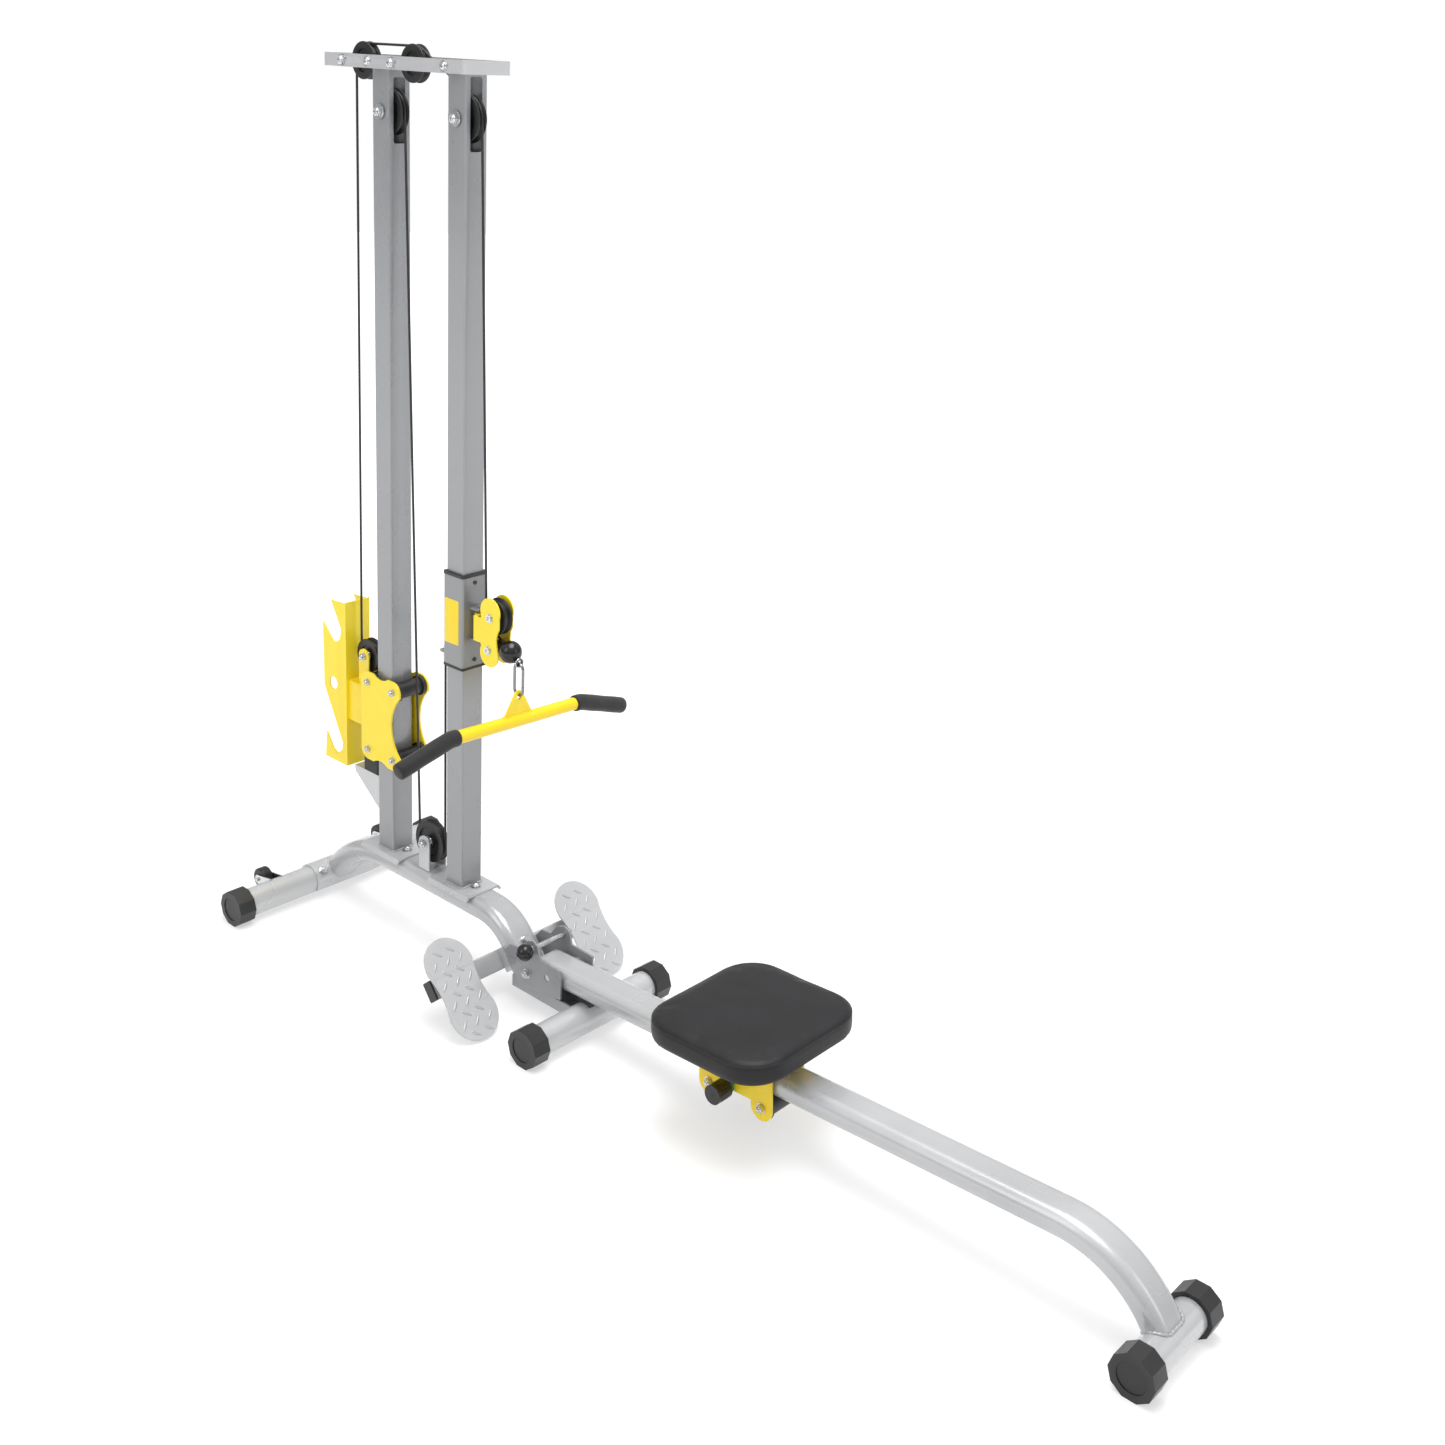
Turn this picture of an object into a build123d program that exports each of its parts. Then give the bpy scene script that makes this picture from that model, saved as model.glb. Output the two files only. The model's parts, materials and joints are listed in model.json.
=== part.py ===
from build123d import *
import os
from math import sin, cos, radians, degrees, atan2, asin, hypot, pi

os.makedirs("parts", exist_ok=True)

# ---------------------------------------------------------------- driving dimensions (mm)
# X runs from the transport wheels to the far foot, Y is sideways, Z is up, floor at Z = 0.
rear_x = -1010.0          # rear stabiliser axis
mid_x = -183.5            # middle stabiliser axis
front_x = 1047.5          # front foot axis
rear_half = 275.0         # half width over the end caps
mid_half = 183.0
front_half = 108.0
tube_r = 30.0             # stabiliser tubes
tube_wall = 2.0
cap_corner_r = 38.9       # ten-sided end cap, over the corners
cap_len = 38.0
cap_face = 4.0
foot_z = cap_corner_r * cos(radians(18))
fit = 0.05                # radial running clearance

mast_x = (-797.5, -571.5)  # rear mast, front mast
mast_w = 50.0             # along X
mast_d = 52.0             # along Y
mast_wall = 2.5
mast_z0 = 173.0
mast_z1 = 1818.0
slot_w = 28.0
slot_z0 = 1658.0
slot_z1 = 1782.0
slot_z1_tall = 1793.0

beam_w = 72.0             # arched beam and seat rail: flat-oval tube
beam_h = 45.0
beam_corner = 20.0
beam_wall = 2.5
beam_z = 146.5            # beam axis under the masts
rear_bend_x = -815.0
rear_bend_r = 212.5
rear_bend_deg = 60.0
front_bend_x = -490.0
front_bend_r = 114.5
front_bend_deg = 50.0
front_leg = 75.0

head_x0 = -935.5
head_x1 = -516.5
head_half = 55.5
head_z0 = 1797.0
head_z1 = 1822.0
head_t = 5.0
head_mid = (head_z0 + head_z1) / 2

cable_r = 2.5
small_rim = 36.0
small_pitch = 32.0
large_rim = 45.0
large_pitch = 41.5
pulley_half = 10.0
axle_r = 5.0

p1_c = (mast_x[0] - 76.0, head_mid)
p2_c = (mast_x[0] + 76.0, head_mid)
p3_c = (mast_x[0], 1717.0)
p4_c = (mast_x[1], 1717.0)
p5_c = (-673.0, 228.0)
pw_c = (-879.0, 585.0)    # pulley that rides on the weight carriage
ps_c = (-475.0, 776.0)    # pulley in the swivel bracket
rs_c = (-479.0, 709.0)    # guide roller in the swivel bracket
rs_r = 15.5
ball_c = (-434.5, 713.5)
ball_r = 22.5

roller_x = 42.0           # carriage rollers, from the mast centre
roller_z = (393.5, 544.5)
roller_core = 16.7
roller_flange = 21.0
stop_top = 369.5          # the carriage rests here
stop_t = 2.5

sleeve_z0 = 655.0
sleeve_z1 = 841.0
sleeve_w = 59.0
sleeve_d = 62.0

hinge_x = -268.0
hinge_z = 94.3
rail_rise = 2.75          # degrees
rail_rear = 42.0          # behind the hinge
rail_bend_r = 197.0
seat_s = 491.5            # seat centre along the rail from the hinge
seat_len = 282.0
seat_wid = 306.0
seat_t0 = 62.0
seat_thick = 45.0

bar_z = 580.0
bar_r = 13.0
grip_r = 16.5

ea = radians(rail_rise)
RAIL = Plane(origin=(hinge_x, 0, hinge_z), x_dir=(cos(ea), 0, sin(ea)), z_dir=(-sin(ea), 0, cos(ea)))
RAIL_SIDE = Plane(origin=(hinge_x, 0, hinge_z), x_dir=(cos(ea), 0, sin(ea)), z_dir=(0, -1, 0))

# the lower leg of the arch, which carries the foot rest
fa = radians(front_bend_deg)
LEG_O = (front_bend_x + front_bend_r * sin(fa), 0, beam_z - front_bend_r + front_bend_r * cos(fa))
LEG_D = (cos(fa), 0, -sin(fa))
LEG_SIDE = Plane(origin=LEG_O, x_dir=LEG_D, z_dir=(0, -1, 0))
LEG_FACE = Plane(origin=LEG_O, x_dir=LEG_D, z_dir=(sin(fa), 0, cos(fa)))
ta = radians(45)
TREAD = Plane(origin=(-373.5, 0, 78.3), x_dir=(cos(ta), 0, -sin(ta)), z_dir=(sin(ta), 0, cos(ta)))


def at_y(y):
    """XZ plane moved to a Y station, extruding towards +Y with a negative amount."""
    return Plane(origin=(0, y, 0), x_dir=(1, 0, 0), z_dir=(0, -1, 0))


def rod(plane, radius, length):
    """Round bar that starts on a plane and runs along its normal, as an algebra object."""
    return plane * Cylinder(radius, length, align=(Align.CENTER, Align.CENTER, Align.MIN), mode=Mode.PRIVATE)


def y_bar(x, z, radius, y0, y1):
    """Round bar along Y, as an algebra object."""
    return rod(Plane(origin=(x, y0, z), x_dir=(1, 0, 0), z_dir=(0, 1, 0)), radius, y1 - y0)


def y_hex(x, z, across, y0, y1):
    """Hexagon nut or head along Y, as an algebra object."""
    flat = Plane(origin=(x, y0, z), x_dir=(1, 0, 0), z_dir=(0, 1, 0)) * RegularPolygon(across / 2, 6)
    return extrude(flat, y1 - y0)


# ---------------------------------------------------------------- stabilisers and caps
def stabiliser(x, half):
    with BuildPart() as tube:
        with BuildSketch(Plane(origin=(x, 0, foot_z), x_dir=(1, 0, 0), z_dir=(0, 1, 0))):
            Circle(tube_r)
            Circle(tube_r - tube_wall, mode=Mode.SUBTRACT)
        extrude(amount=half - cap_face, both=True)
    return tube


def cap_pair(x, half):
    """Two ten-sided cups, their flats down."""
    out = []
    for side in (-1, 1):
        inner = Plane(origin=(x, side * (half - cap_len), foot_z), x_dir=(1, 0, 0), z_dir=(0, side, 0))
        with BuildPart() as cup:
            with BuildSketch(inner):
                RegularPolygon(cap_corner_r, 10)
            extrude(amount=cap_len)
            with BuildSketch(inner):
                Circle(tube_r + fit)
            extrude(amount=cap_len - cap_face, mode=Mode.SUBTRACT)
            with BuildSketch(inner.offset(cap_len)):
                Circle(25.0)
            extrude(amount=-1.5, mode=Mode.SUBTRACT)
        out.append(cup.part)
    return out


rear_stabiliser = stabiliser(rear_x, rear_half)
rear_stabiliser.part.label = "rear_stabiliser"
export_step(rear_stabiliser.part, "parts/rear_stabiliser.step")

mid_stabiliser = stabiliser(mid_x, mid_half)
mid_stabiliser.part.label = "mid_stabiliser"
export_step(mid_stabiliser.part, "parts/mid_stabiliser.step")

# ---------------------------------------------------------------- foot rest
plate_y = 171.0
plate_len = 212.0
plate_wid = 108.0
plate_t = 3.0
rest_half = 206.0
rest_d0 = -2.0            # tube under the leg, along it and below its axis
rest_d1 = 38.0
rest_n0 = -50.0
rest_n1 = -25.0
rest_d = (rest_d0 + rest_d1) / 2
rest_n = (rest_n0 + rest_n1) / 2
wing_y = beam_w / 2 + 0.1

with BuildPart() as footrest_tube:
    with BuildSketch(LEG_SIDE):
        with Locations((rest_d, rest_n)):
            RectangleRounded(rest_d1 - rest_d0, rest_n1 - rest_n0, 3)
            Rectangle(rest_d1 - rest_d0 - 4, rest_n1 - rest_n0 - 4, mode=Mode.SUBTRACT)
    extrude(amount=rest_half, both=True)
    # saddle that wraps the underside of the arch, one post behind each tread plate
    with BuildSketch(LEG_FACE.offset(rest_n1)):
        with Locations((rest_d + 6, 0)):
            Rectangle(48, 2 * (wing_y + 2.5))
    extrude(amount=-beam_h / 2 - rest_n1 - 0.1)
    for side in (-1, 1):
        with BuildSketch(LEG_SIDE.offset(-side * wing_y)):
            with Locations((rest_d + 6, -15)):
                Rectangle(48, -2 * (rest_n1 + 15))
        extrude(amount=-side * 2.5)
        with BuildSketch(TREAD):
            with Locations((-16, side * plate_y)):
                Rectangle(34, 50)
                Rectangle(28, 44, mode=Mode.SUBTRACT)
        extrude(amount=-34)
    with BuildSketch(LEG_SIDE):
        with Locations((rest_d, rest_n)):
            Rectangle(rest_d1 - rest_d0 - 4, rest_n1 - rest_n0 - 4)
    extrude(amount=rest_half, both=True, mode=Mode.SUBTRACT)
footrest_tube.part.label = "footrest_tube"
export_step(footrest_tube.part, "parts/footrest_tube.step")


def footplate(side):
    """Peanut-shaped tread plate."""
    lobe = plate_wid / 2
    reach = plate_len / 2 - lobe
    with BuildPart() as plate:
        with BuildSketch(TREAD):
            with Locations((0, side * plate_y)):
                Rectangle(2 * reach, plate_wid)
            with Locations((-reach, side * plate_y), (reach, side * plate_y)):
                Circle(lobe)
            for edge in (-1, 1):
                with Locations((0, side * plate_y + edge * (lobe + 147.0))):
                    Circle(154.0, mode=Mode.SUBTRACT)
        extrude(amount=plate_t)
    return plate


footplate_left = footplate(-1)
footplate_left.part.label = "footplate_left"
export_step(footplate_left.part, "parts/footplate_left.step")

footplate_right = footplate(1)
footplate_right.part.label = "footplate_right"
export_step(footplate_right.part, "parts/footplate_right.step")

# end caps of the two fixed stabilisers and the plugs of the foot rest tube
plug_parts = []
for side in (-1, 1):
    with BuildPart() as plug:
        with BuildSketch(LEG_SIDE.offset(-side * rest_half)):
            with Locations((rest_d, rest_n)):
                RectangleRounded(rest_d1 - rest_d0, rest_n1 - rest_n0, 3)
        extrude(amount=-side * 4.0)
    plug_parts.append(plug.part)

with BuildPart() as end_caps:
    add(cap_pair(rear_x, rear_half))
    add(cap_pair(mid_x, mid_half))
    add(plug_parts)
end_caps.part.label = "end_caps"
export_step(end_caps.part, "parts/end_caps.step")

# ---------------------------------------------------------------- arched base beam
with BuildPart() as base_beam:
    with BuildLine(Plane.XZ) as route:
        CenterArc((rear_bend_x, beam_z - rear_bend_r), rear_bend_r, 90 + rear_bend_deg, -rear_bend_deg)
        Line((rear_bend_x, beam_z), (front_bend_x, beam_z))
        CenterArc((front_bend_x, beam_z - front_bend_r), front_bend_r, 90, -front_bend_deg)
        Line((LEG_O[0], LEG_O[2]), (LEG_O[0] + front_leg * cos(fa), LEG_O[2] - front_leg * sin(fa)))
    start = route.line @ 0
    with BuildSketch(Plane(origin=start, x_dir=(0, 1, 0), z_dir=route.line % 0)):
        RectangleRounded(beam_w, beam_h, beam_corner)
        RectangleRounded(beam_w - 2 * beam_wall, beam_h - 2 * beam_wall, beam_corner - beam_wall,
                         mode=Mode.SUBTRACT)
    sweep(path=route.line)
    # seat on the rear saddle, foot trimmed to the channel floor
    add(y_bar(rear_x, foot_z, tube_r + 4.0, -60, 60), mode=Mode.SUBTRACT)
    with Locations((LEG_O[0] + 40, 0, -2)):
        Box(160, 100, 80, mode=Mode.SUBTRACT)
base_beam.part.label = "base_beam"
export_step(base_beam.part, "parts/base_beam.step")

# ---------------------------------------------------------------- saddle plates and low pulley bracket
lip = ((-41, 173), (41, 173), (47, 164), (43.6, 161.8), (39, 169), (-39, 169), (-43.6, 161.8), (-47, 164))
saddle_parts = []
with BuildPart() as rear_saddle:
    with BuildSketch(Plane(origin=(rear_x, 0, foot_z), x_dir=(1, 0, 0), z_dir=(0, -1, 0))):
        Circle(tube_r + 4.0)
        Circle(tube_r + fit, mode=Mode.SUBTRACT)
        with Locations((0, -40)):
            Rectangle(90, 44, mode=Mode.SUBTRACT)
    extrude(amount=76, both=True)
saddle_parts.append(rear_saddle.part)
for mx in mast_x:
    with BuildPart() as mast_saddle:
        with BuildSketch(Plane(origin=(mx - 63, 0, 0), x_dir=(0, 1, 0), z_dir=(1, 0, 0))):
            with BuildLine():
                Polyline(lip, close=True)
            make_face()
        extrude(amount=126)
    saddle_parts.append(mast_saddle.part)
with BuildPart() as low_bracket:
    with Locations((p5_c[0], 0, 169)):
        Box(34, 46, 3, align=(Align.CENTER, Align.CENTER, Align.MIN))
    for side in (-1, 1):
        with BuildSketch(at_y(side * 20.0)):
            with Locations((p5_c[0], (172 + p5_c[1]) / 2)):
                Rectangle(34, p5_c[1] - 172)
            with Locations(p5_c):
                Circle(17)
                Circle(axle_r + fit, mode=Mode.SUBTRACT)
        extrude(amount=-side * 3.0)
saddle_parts.append(low_bracket.part)
with BuildPart() as saddle_plates:
    add(saddle_parts)
saddle_plates.part.label = "saddle_plates"
export_step(saddle_plates.part, "parts/saddle_plates.step")


# ---------------------------------------------------------------- masts
def mast(mx, slot_top):
    with BuildPart() as tube:
        with BuildSketch(Plane(origin=(mx, 0, mast_z0))):
            RectangleRounded(mast_w, mast_d, 3)
            RectangleRounded(mast_w - 2 * mast_wall, mast_d - 2 * mast_wall, 1.5, mode=Mode.SUBTRACT)
        extrude(amount=mast_z1 - mast_z0)
        for face in (-1, 1):
            wall = Plane(origin=(mx + face * (mast_w / 2 - 8), 0, 0), x_dir=(0, 1, 0), z_dir=(1, 0, 0))
            with BuildSketch(wall):
                with Locations((0, (slot_z0 + slot_top) / 2)):
                    RectangleRounded(slot_w, slot_top - slot_z0, 5)
            extrude(amount=face * 16, mode=Mode.SUBTRACT)
        add(y_bar(mx, p3_c[1], axle_r + fit, -60, 60), mode=Mode.SUBTRACT)
    return tube


rear_mast = mast(mast_x[0], slot_z1)
rear_mast.part.label = "rear_mast"
export_step(rear_mast.part, "parts/rear_mast.step")

pin_pitch = 100.0
pin_z0 = 341.0
pin_count = 13
pin_hole_r = 5.2
front_mast = mast(mast_x[1], slot_z1_tall)
with BuildPart() as front_mast_drilled:
    add(front_mast.part)
    for i in range(pin_count):
        with Locations(Plane(origin=(mast_x[1] - mast_w / 2, 0, pin_z0 + i * pin_pitch), z_dir=(1, 0, 0))):
            Cylinder(pin_hole_r, 12, mode=Mode.SUBTRACT)
front_mast_drilled.part.label = "front_mast"
export_step(front_mast_drilled.part, "parts/front_mast.step")

# ---------------------------------------------------------------- weight stop on the rear mast
mast_back = mast_x[0] - mast_w / 2
with BuildPart() as stop_bracket:
    with Locations(((mast_back + -910) / 2, 0, 328)):
        Box(mast_back + 910, 44, 4)
    for side in (-1, 1):
        with BuildSketch(at_y(side * 19.0)):
            with BuildLine():
                Polyline((mast_back, 326), (-910, 326), (-908, 316), (mast_back, 252), close=True)
            make_face()
        extrude(amount=-side * 3.0)
stop_bracket.part.label = "stop_bracket"
export_step(stop_bracket.part, "parts/stop_bracket.step")

rest_x = mid_x
rail_under = hinge_z + (rest_x - 16 - hinge_x) * sin(ea) / cos(ea) - beam_h / 2 / cos(ea)
with BuildPart() as rubber_stops:
    with Locations((-856, 0, 330)):
        Box(50, 42, stop_top - 330, align=(Align.CENTER, Align.CENTER, Align.MIN))
    fillet(rubber_stops.edges().filter_by(Axis.Z), 5)
    with Locations((rest_x, 0, foot_z)):
        Box(30, 44, rail_under - foot_z - 0.1, align=(Align.CENTER, Align.CENTER, Align.MIN))
    add(y_bar(mid_x, foot_z, tube_r + 0.02, -60, 60), mode=Mode.SUBTRACT)
rubber_stops.part.label = "rubber_stops"
export_step(rubber_stops.part, "parts/rubber_stops.step")

# ---------------------------------------------------------------- head frame
with BuildPart() as head_frame:
    with BuildSketch(Plane(origin=((head_x0 + head_x1) / 2, 0, head_z0))):
        RectangleRounded(head_x1 - head_x0, 2 * head_half, 4)
        Rectangle(head_x1 - head_x0 - 2 * head_t, 2 * (head_half - head_t), mode=Mode.SUBTRACT)
    extrude(amount=head_z1 - head_z0)
    for mx in mast_x:
        for side in (-1, 1):
            y0 = side * mast_d / 2
            y1 = side * (head_half - head_t)
            add(y_bar(mx, head_mid, 9.0, min(y0, y1), max(y0, y1)))
    for px in (p1_c[0], p2_c[0]):
        add(y_bar(px, head_mid, axle_r, -60, 60), mode=Mode.SUBTRACT)
head_frame.part.label = "head_frame"
export_step(head_frame.part, "parts/head_frame.step")

# ---------------------------------------------------------------- pivot bracket: channel and two side plates
plate_in = 40.0
plate_out = 44.0
pin_x = -310.0
pin_z = 141.0
lock_r = 5.0
hinge_r = 6.0
cross_x = -325.0
cross_z = 81.0
ear = ((-394, 104), (-376, 124), (-348, 127), (-334, 146), (-324, 153), (-310, 158), (-296, 152),
       (-288, 126), (-228, 124), (-228, 64), (-346, 46), (-352, 52))
with BuildPart() as pivot_bracket:
    with Locations(((-372 + mid_x) / 2, 0, 34)):
        Box(mid_x + 372, 2 * plate_in, 24, align=(Align.CENTER, Align.CENTER, Align.MIN))
    with Locations(((-372 + mid_x) / 2, 0, 38)):
        Box(mid_x + 374, 2 * (beam_w / 2 + 0.3), 30, align=(Align.CENTER, Align.CENTER, Align.MIN),
            mode=Mode.SUBTRACT)
    add(y_bar(mid_x, foot_z, tube_r + 0.02, -80, 80), mode=Mode.SUBTRACT)
    with Locations((mid_x + 40, 0, 46)):
        Box(80, 100, 40, mode=Mode.SUBTRACT)
    for side in (-1, 1):
        with BuildSketch(at_y(side * plate_in)):
            with BuildLine():
                Polyline(ear, close=True)
            make_face()
            with Locations((pin_x, pin_z)):
                Circle(lock_r + fit, mode=Mode.SUBTRACT)
            with Locations((hinge_x, hinge_z)):
                Circle(hinge_r + 1.0, mode=Mode.SUBTRACT)
            with Locations((cross_x, cross_z)):
                Circle(5.0, mode=Mode.SUBTRACT)
        extrude(amount=-side * (plate_out - plate_in))
pivot_bracket.part.label = "pivot_bracket"
export_step(pivot_bracket.part, "parts/pivot_bracket.step")

# ---------------------------------------------------------------- bolts, nuts, axles and wheel brackets
wheel_r = 23.0
wheel_half = 11.0
wheel_x = -(front_x + cap_corner_r) + wheel_r
wheel_z = 51.0
wheel_y = 158.0


def axle(x, z, half, across, radius=axle_r):
    """Bolt along Y with a hexagon head and a nut."""
    rod = y_bar(x, z, radius, -half, half)
    return rod + y_hex(x, z, across, -half - 6, -half) + y_hex(x, z, across, half, half + 6)


def spacer_pair(x, z, radius, y0, y1):
    out = []
    for side in (-1, 1):
        out.append(y_bar(x, z, radius, min(side * y0, side * y1), max(side * y0, side * y1)))
    return out


def stud(px, py, pz, tilt_deg, across, height):
    """Short domed screw head on a plate, tilted about Y."""
    ta = radians(tilt_deg)
    base = Plane(origin=(px, py, pz), x_dir=(cos(ta), 0, -sin(ta)), z_dir=(sin(ta), 0, cos(ta)))
    return rod(base, across / 2, height)


def wheel_bracket(side):
    """Bent lug that holds one transport wheel behind the rear stabiliser."""
    lug = []
    for edge in (-1, 1):
        y0 = side * wheel_y + edge * (wheel_half + 1.0)
        with BuildPart() as cheek:
            with BuildSketch(at_y(y0)):
                with BuildLine():
                    Polyline((rear_x - 4, foot_z + 32), (wheel_x - 4, wheel_z + 10),
                             (wheel_x - 9, wheel_z - 2), (wheel_x, wheel_z - 10), (rear_x - 26, foot_z - 2),
                             close=True)
                make_face()
                with Locations((wheel_x, wheel_z)):
                    Circle(10)
            extrude(amount=-edge * 3.0)
            add(y_bar(rear_x, foot_z, tube_r + 0.02, -300, 300), mode=Mode.SUBTRACT)
        lug.append(cheek.part)
    lug.append(y_bar(wheel_x, wheel_z, 4.0, side * wheel_y - 19, side * wheel_y + 19))
    return lug


hardware = []
for centre in (p1_c, p2_c):
    hardware.append(axle(centre[0], centre[1], head_half, 17))
    hardware.extend(spacer_pair(centre[0], centre[1], 8.0, pulley_half + 0.6, head_half - head_t))
for centre in (p3_c, p4_c):
    hardware.append(axle(centre[0], centre[1], mast_d / 2 + 2.5, 17))
    hardware.extend(spacer_pair(centre[0], centre[1], 8.0, pulley_half + 0.6, mast_d / 2 - mast_wall))
    hardware.extend(spacer_pair(centre[0], centre[1], 12.0, mast_d / 2, mast_d / 2 + 2.5))
hardware.append(axle(p5_c[0], p5_c[1], 23.0, 17))
hardware.extend(spacer_pair(p5_c[0], p5_c[1], 8.0, pulley_half + 0.6, 20.0))
for mx in mast_x:
    for side in (-1, 1):
        hardware.append(y_bar(mx, head_mid, 7.5, min(side * head_half, side * (head_half + 4)),
                  max(side * head_half, side * (head_half + 4))))
        hardware.append(stud(mx + side * 38.5, 0, mast_z0, 0, 20, 2))
        hardware.append(stud(mx + side * 38.5, 0, mast_z0 + 2, 0, 14, 7))
for side in (-1, 1):
    reach = tube_r + 4.0
    lean = radians(45)
    hardware.append(stud(rear_x + reach * sin(lean), side * 57, foot_z + reach * cos(lean), 45, 20, 2.5))
    hardware.append(stud(rear_x + (reach + 2) * sin(radians(45)), side * 57,
             foot_z + (reach + 2) * cos(radians(45)), 45, 13, 7))
# dome nut on the arch, above the foot rest tube
nut_at = (LEG_O[0] + LEG_D[0] * 6 + sin(fa) * beam_h / 2, LEG_O[2] + LEG_D[2] * 6 + cos(fa) * beam_h / 2)
hardware.append(stud(nut_at[0], 0, nut_at[1], front_bend_deg, 19, 3))
hardware.append(stud(nut_at[0] + 2 * sin(fa), 0, nut_at[1] + 2 * cos(fa), front_bend_deg, 14, 9))
# cross bolt, hinge pin and the nut on the far ear
hardware.append(axle(cross_x, cross_z, plate_out, 15, 4.9))
hardware.append(y_bar(hinge_x, hinge_z, hinge_r, -plate_out + 1.5, plate_out - 1.5))
hardware.extend(spacer_pair(hinge_x, hinge_z, hinge_r + 1.0, plate_in, plate_out - 1.5))
hardware.append(y_hex(pin_x, pin_z, 20, plate_out, plate_out + 7) - y_bar(pin_x, pin_z, lock_r + fit, 30, 70))
for side in (-1, 1):
    hardware.extend(wheel_bracket(side))
with BuildPart() as frame_bolts:
    add(hardware)
frame_bolts.part.label = "frame_bolts"
export_step(frame_bolts.part, "parts/frame_bolts.step")


# ---------------------------------------------------------------- pulleys, wheels and rollers
def pulley(name, centre, rim, pitch, bore, half=pulley_half):
    """Grooved wheel turned about Y."""
    floor_r = pitch - cable_r - 0.1
    hub = bore + 5.0
    web = half - 3.5
    profile = ((bore, -half), (hub + 3, -half), (hub + 3, -web), (floor_r - 7, -web), (floor_r - 7, -half + 0.5),
               (rim - 1, -half + 0.5), (rim, -half + 1.5), (rim, -7.0), (floor_r, -2.7),
               (floor_r, 2.7), (rim, 7.0), (rim, half - 1.5), (rim - 1, half - 0.5), (floor_r - 7, half - 0.5),
               (floor_r - 7, web), (hub + 3, web), (hub + 3, half), (bore, half))
    base = Plane(origin=(centre[0], 0, centre[1]), x_dir=(1, 0, 0), z_dir=(0, 0, 1))
    with BuildPart() as wheel:
        with BuildSketch(base):
            with BuildLine():
                Polyline(profile, close=True)
            make_face()
        revolve(axis=Axis((centre[0], 0, centre[1]), (0, 1, 0)))
    wheel.part.label = name
    export_step(wheel.part, "parts/" + name + ".step")
    return wheel


pulley("pulley_head_rear", p1_c, small_rim, small_pitch, axle_r + fit)
pulley("pulley_head_mid", p2_c, small_rim, small_pitch, axle_r + fit)
pulley("pulley_rear_mast", p3_c, large_rim, large_pitch, axle_r + fit)
pulley("pulley_front_mast", p4_c, large_rim, large_pitch, axle_r + fit)
pulley("pulley_low", p5_c, large_rim, large_pitch, axle_r + fit)
pulley("pulley_carriage", pw_c, small_rim, small_pitch, axle_r + fit)
pulley("pulley_swivel", ps_c, small_rim, small_pitch, axle_r + fit)

for side, name in ((-1, "wheel_left"), (1, "wheel_right")):
    with BuildPart() as wheel:
        add(y_bar(wheel_x, wheel_z, wheel_r, side * wheel_y - wheel_half, side * wheel_y + wheel_half))
        fillet(wheel.edges(), 3)
        add(y_bar(wheel_x, wheel_z, 4.0 + fit, side * wheel_y - 30, side * wheel_y + 30), mode=Mode.SUBTRACT)
    wheel.part.label = name
    export_step(wheel.part, "parts/" + name + ".step")

bolt_r = 4.0
n = 0
for rx in (-roller_x, roller_x):
    for rz in roller_z:
        n += 1
        x = mast_x[0] + rx
        with BuildPart() as roller:
            add(y_bar(x, rz, roller_core, -mast_d / 2 - 0.6, mast_d / 2 + 0.6))
            for side in (-1, 1):
                y0 = side * (mast_d / 2 + 0.6)
                y1 = side * 34.4
                add(y_bar(x, rz, roller_flange, min(y0, y1), max(y0, y1)))
            add(y_bar(x, rz, bolt_r + fit, -40, 40), mode=Mode.SUBTRACT)
        roller.part.label = "roller_%d" % n
        export_step(roller.part, "parts/roller_%d.step" % n)

# ---------------------------------------------------------------- weight carriage
cp_in = 35.0
cp_out = 39.0
mx = mast_x[0]
z_mid = (roller_z[0] + roller_z[1]) / 2
lobe = 23.0
with BuildPart() as carriage_frame:
    for side in (-1, 1):
        with BuildSketch(at_y(side * cp_in)):
            with Locations((mx, z_mid)):
                RectangleRounded(2 * (roller_x + lobe), roller_z[1] - roller_z[0] + 2 * lobe, lobe)
            with Locations((mx + 129, z_mid)):
                Circle(93, mode=Mode.SUBTRACT)
            with Locations((mx, z_mid + 132), (mx, z_mid - 132)):
                Circle(41, mode=Mode.SUBTRACT)
            for rx in (-roller_x, roller_x):
                for rz in roller_z:
                    with Locations((mx + rx, rz)):
                        Circle(bolt_r, mode=Mode.SUBTRACT)
        extrude(amount=-side * (cp_out - cp_in))
    # block that carries the weight holder, cross plate, ears for the pulley, stop plate
    with Locations((-892.5, 0, 477)):
        Box(65, 50, 90)
        Box(75, 44, 84, mode=Mode.SUBTRACT)
    with Locations((-858, 0, 477)):
        Box(4, 2 * cp_in, 90)
    for side in (-1, 1):
        with BuildSketch(at_y(side * 16.0)):
            with Locations((pw_c[0], (522 + pw_c[1]) / 2)):
                Rectangle(34, pw_c[1] - 522)
            with Locations(pw_c):
                Circle(17)
                Circle(axle_r, mode=Mode.SUBTRACT)
        extrude(amount=-side * 3.0)
    with Locations((mx - roller_x, 0, stop_top)):
        Box(24, 2 * cp_in, stop_t, align=(Align.CENTER, Align.CENTER, Align.MIN))
carriage_frame.part.label = "carriage_frame"
export_step(carriage_frame.part, "parts/carriage_frame.step")

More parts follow.
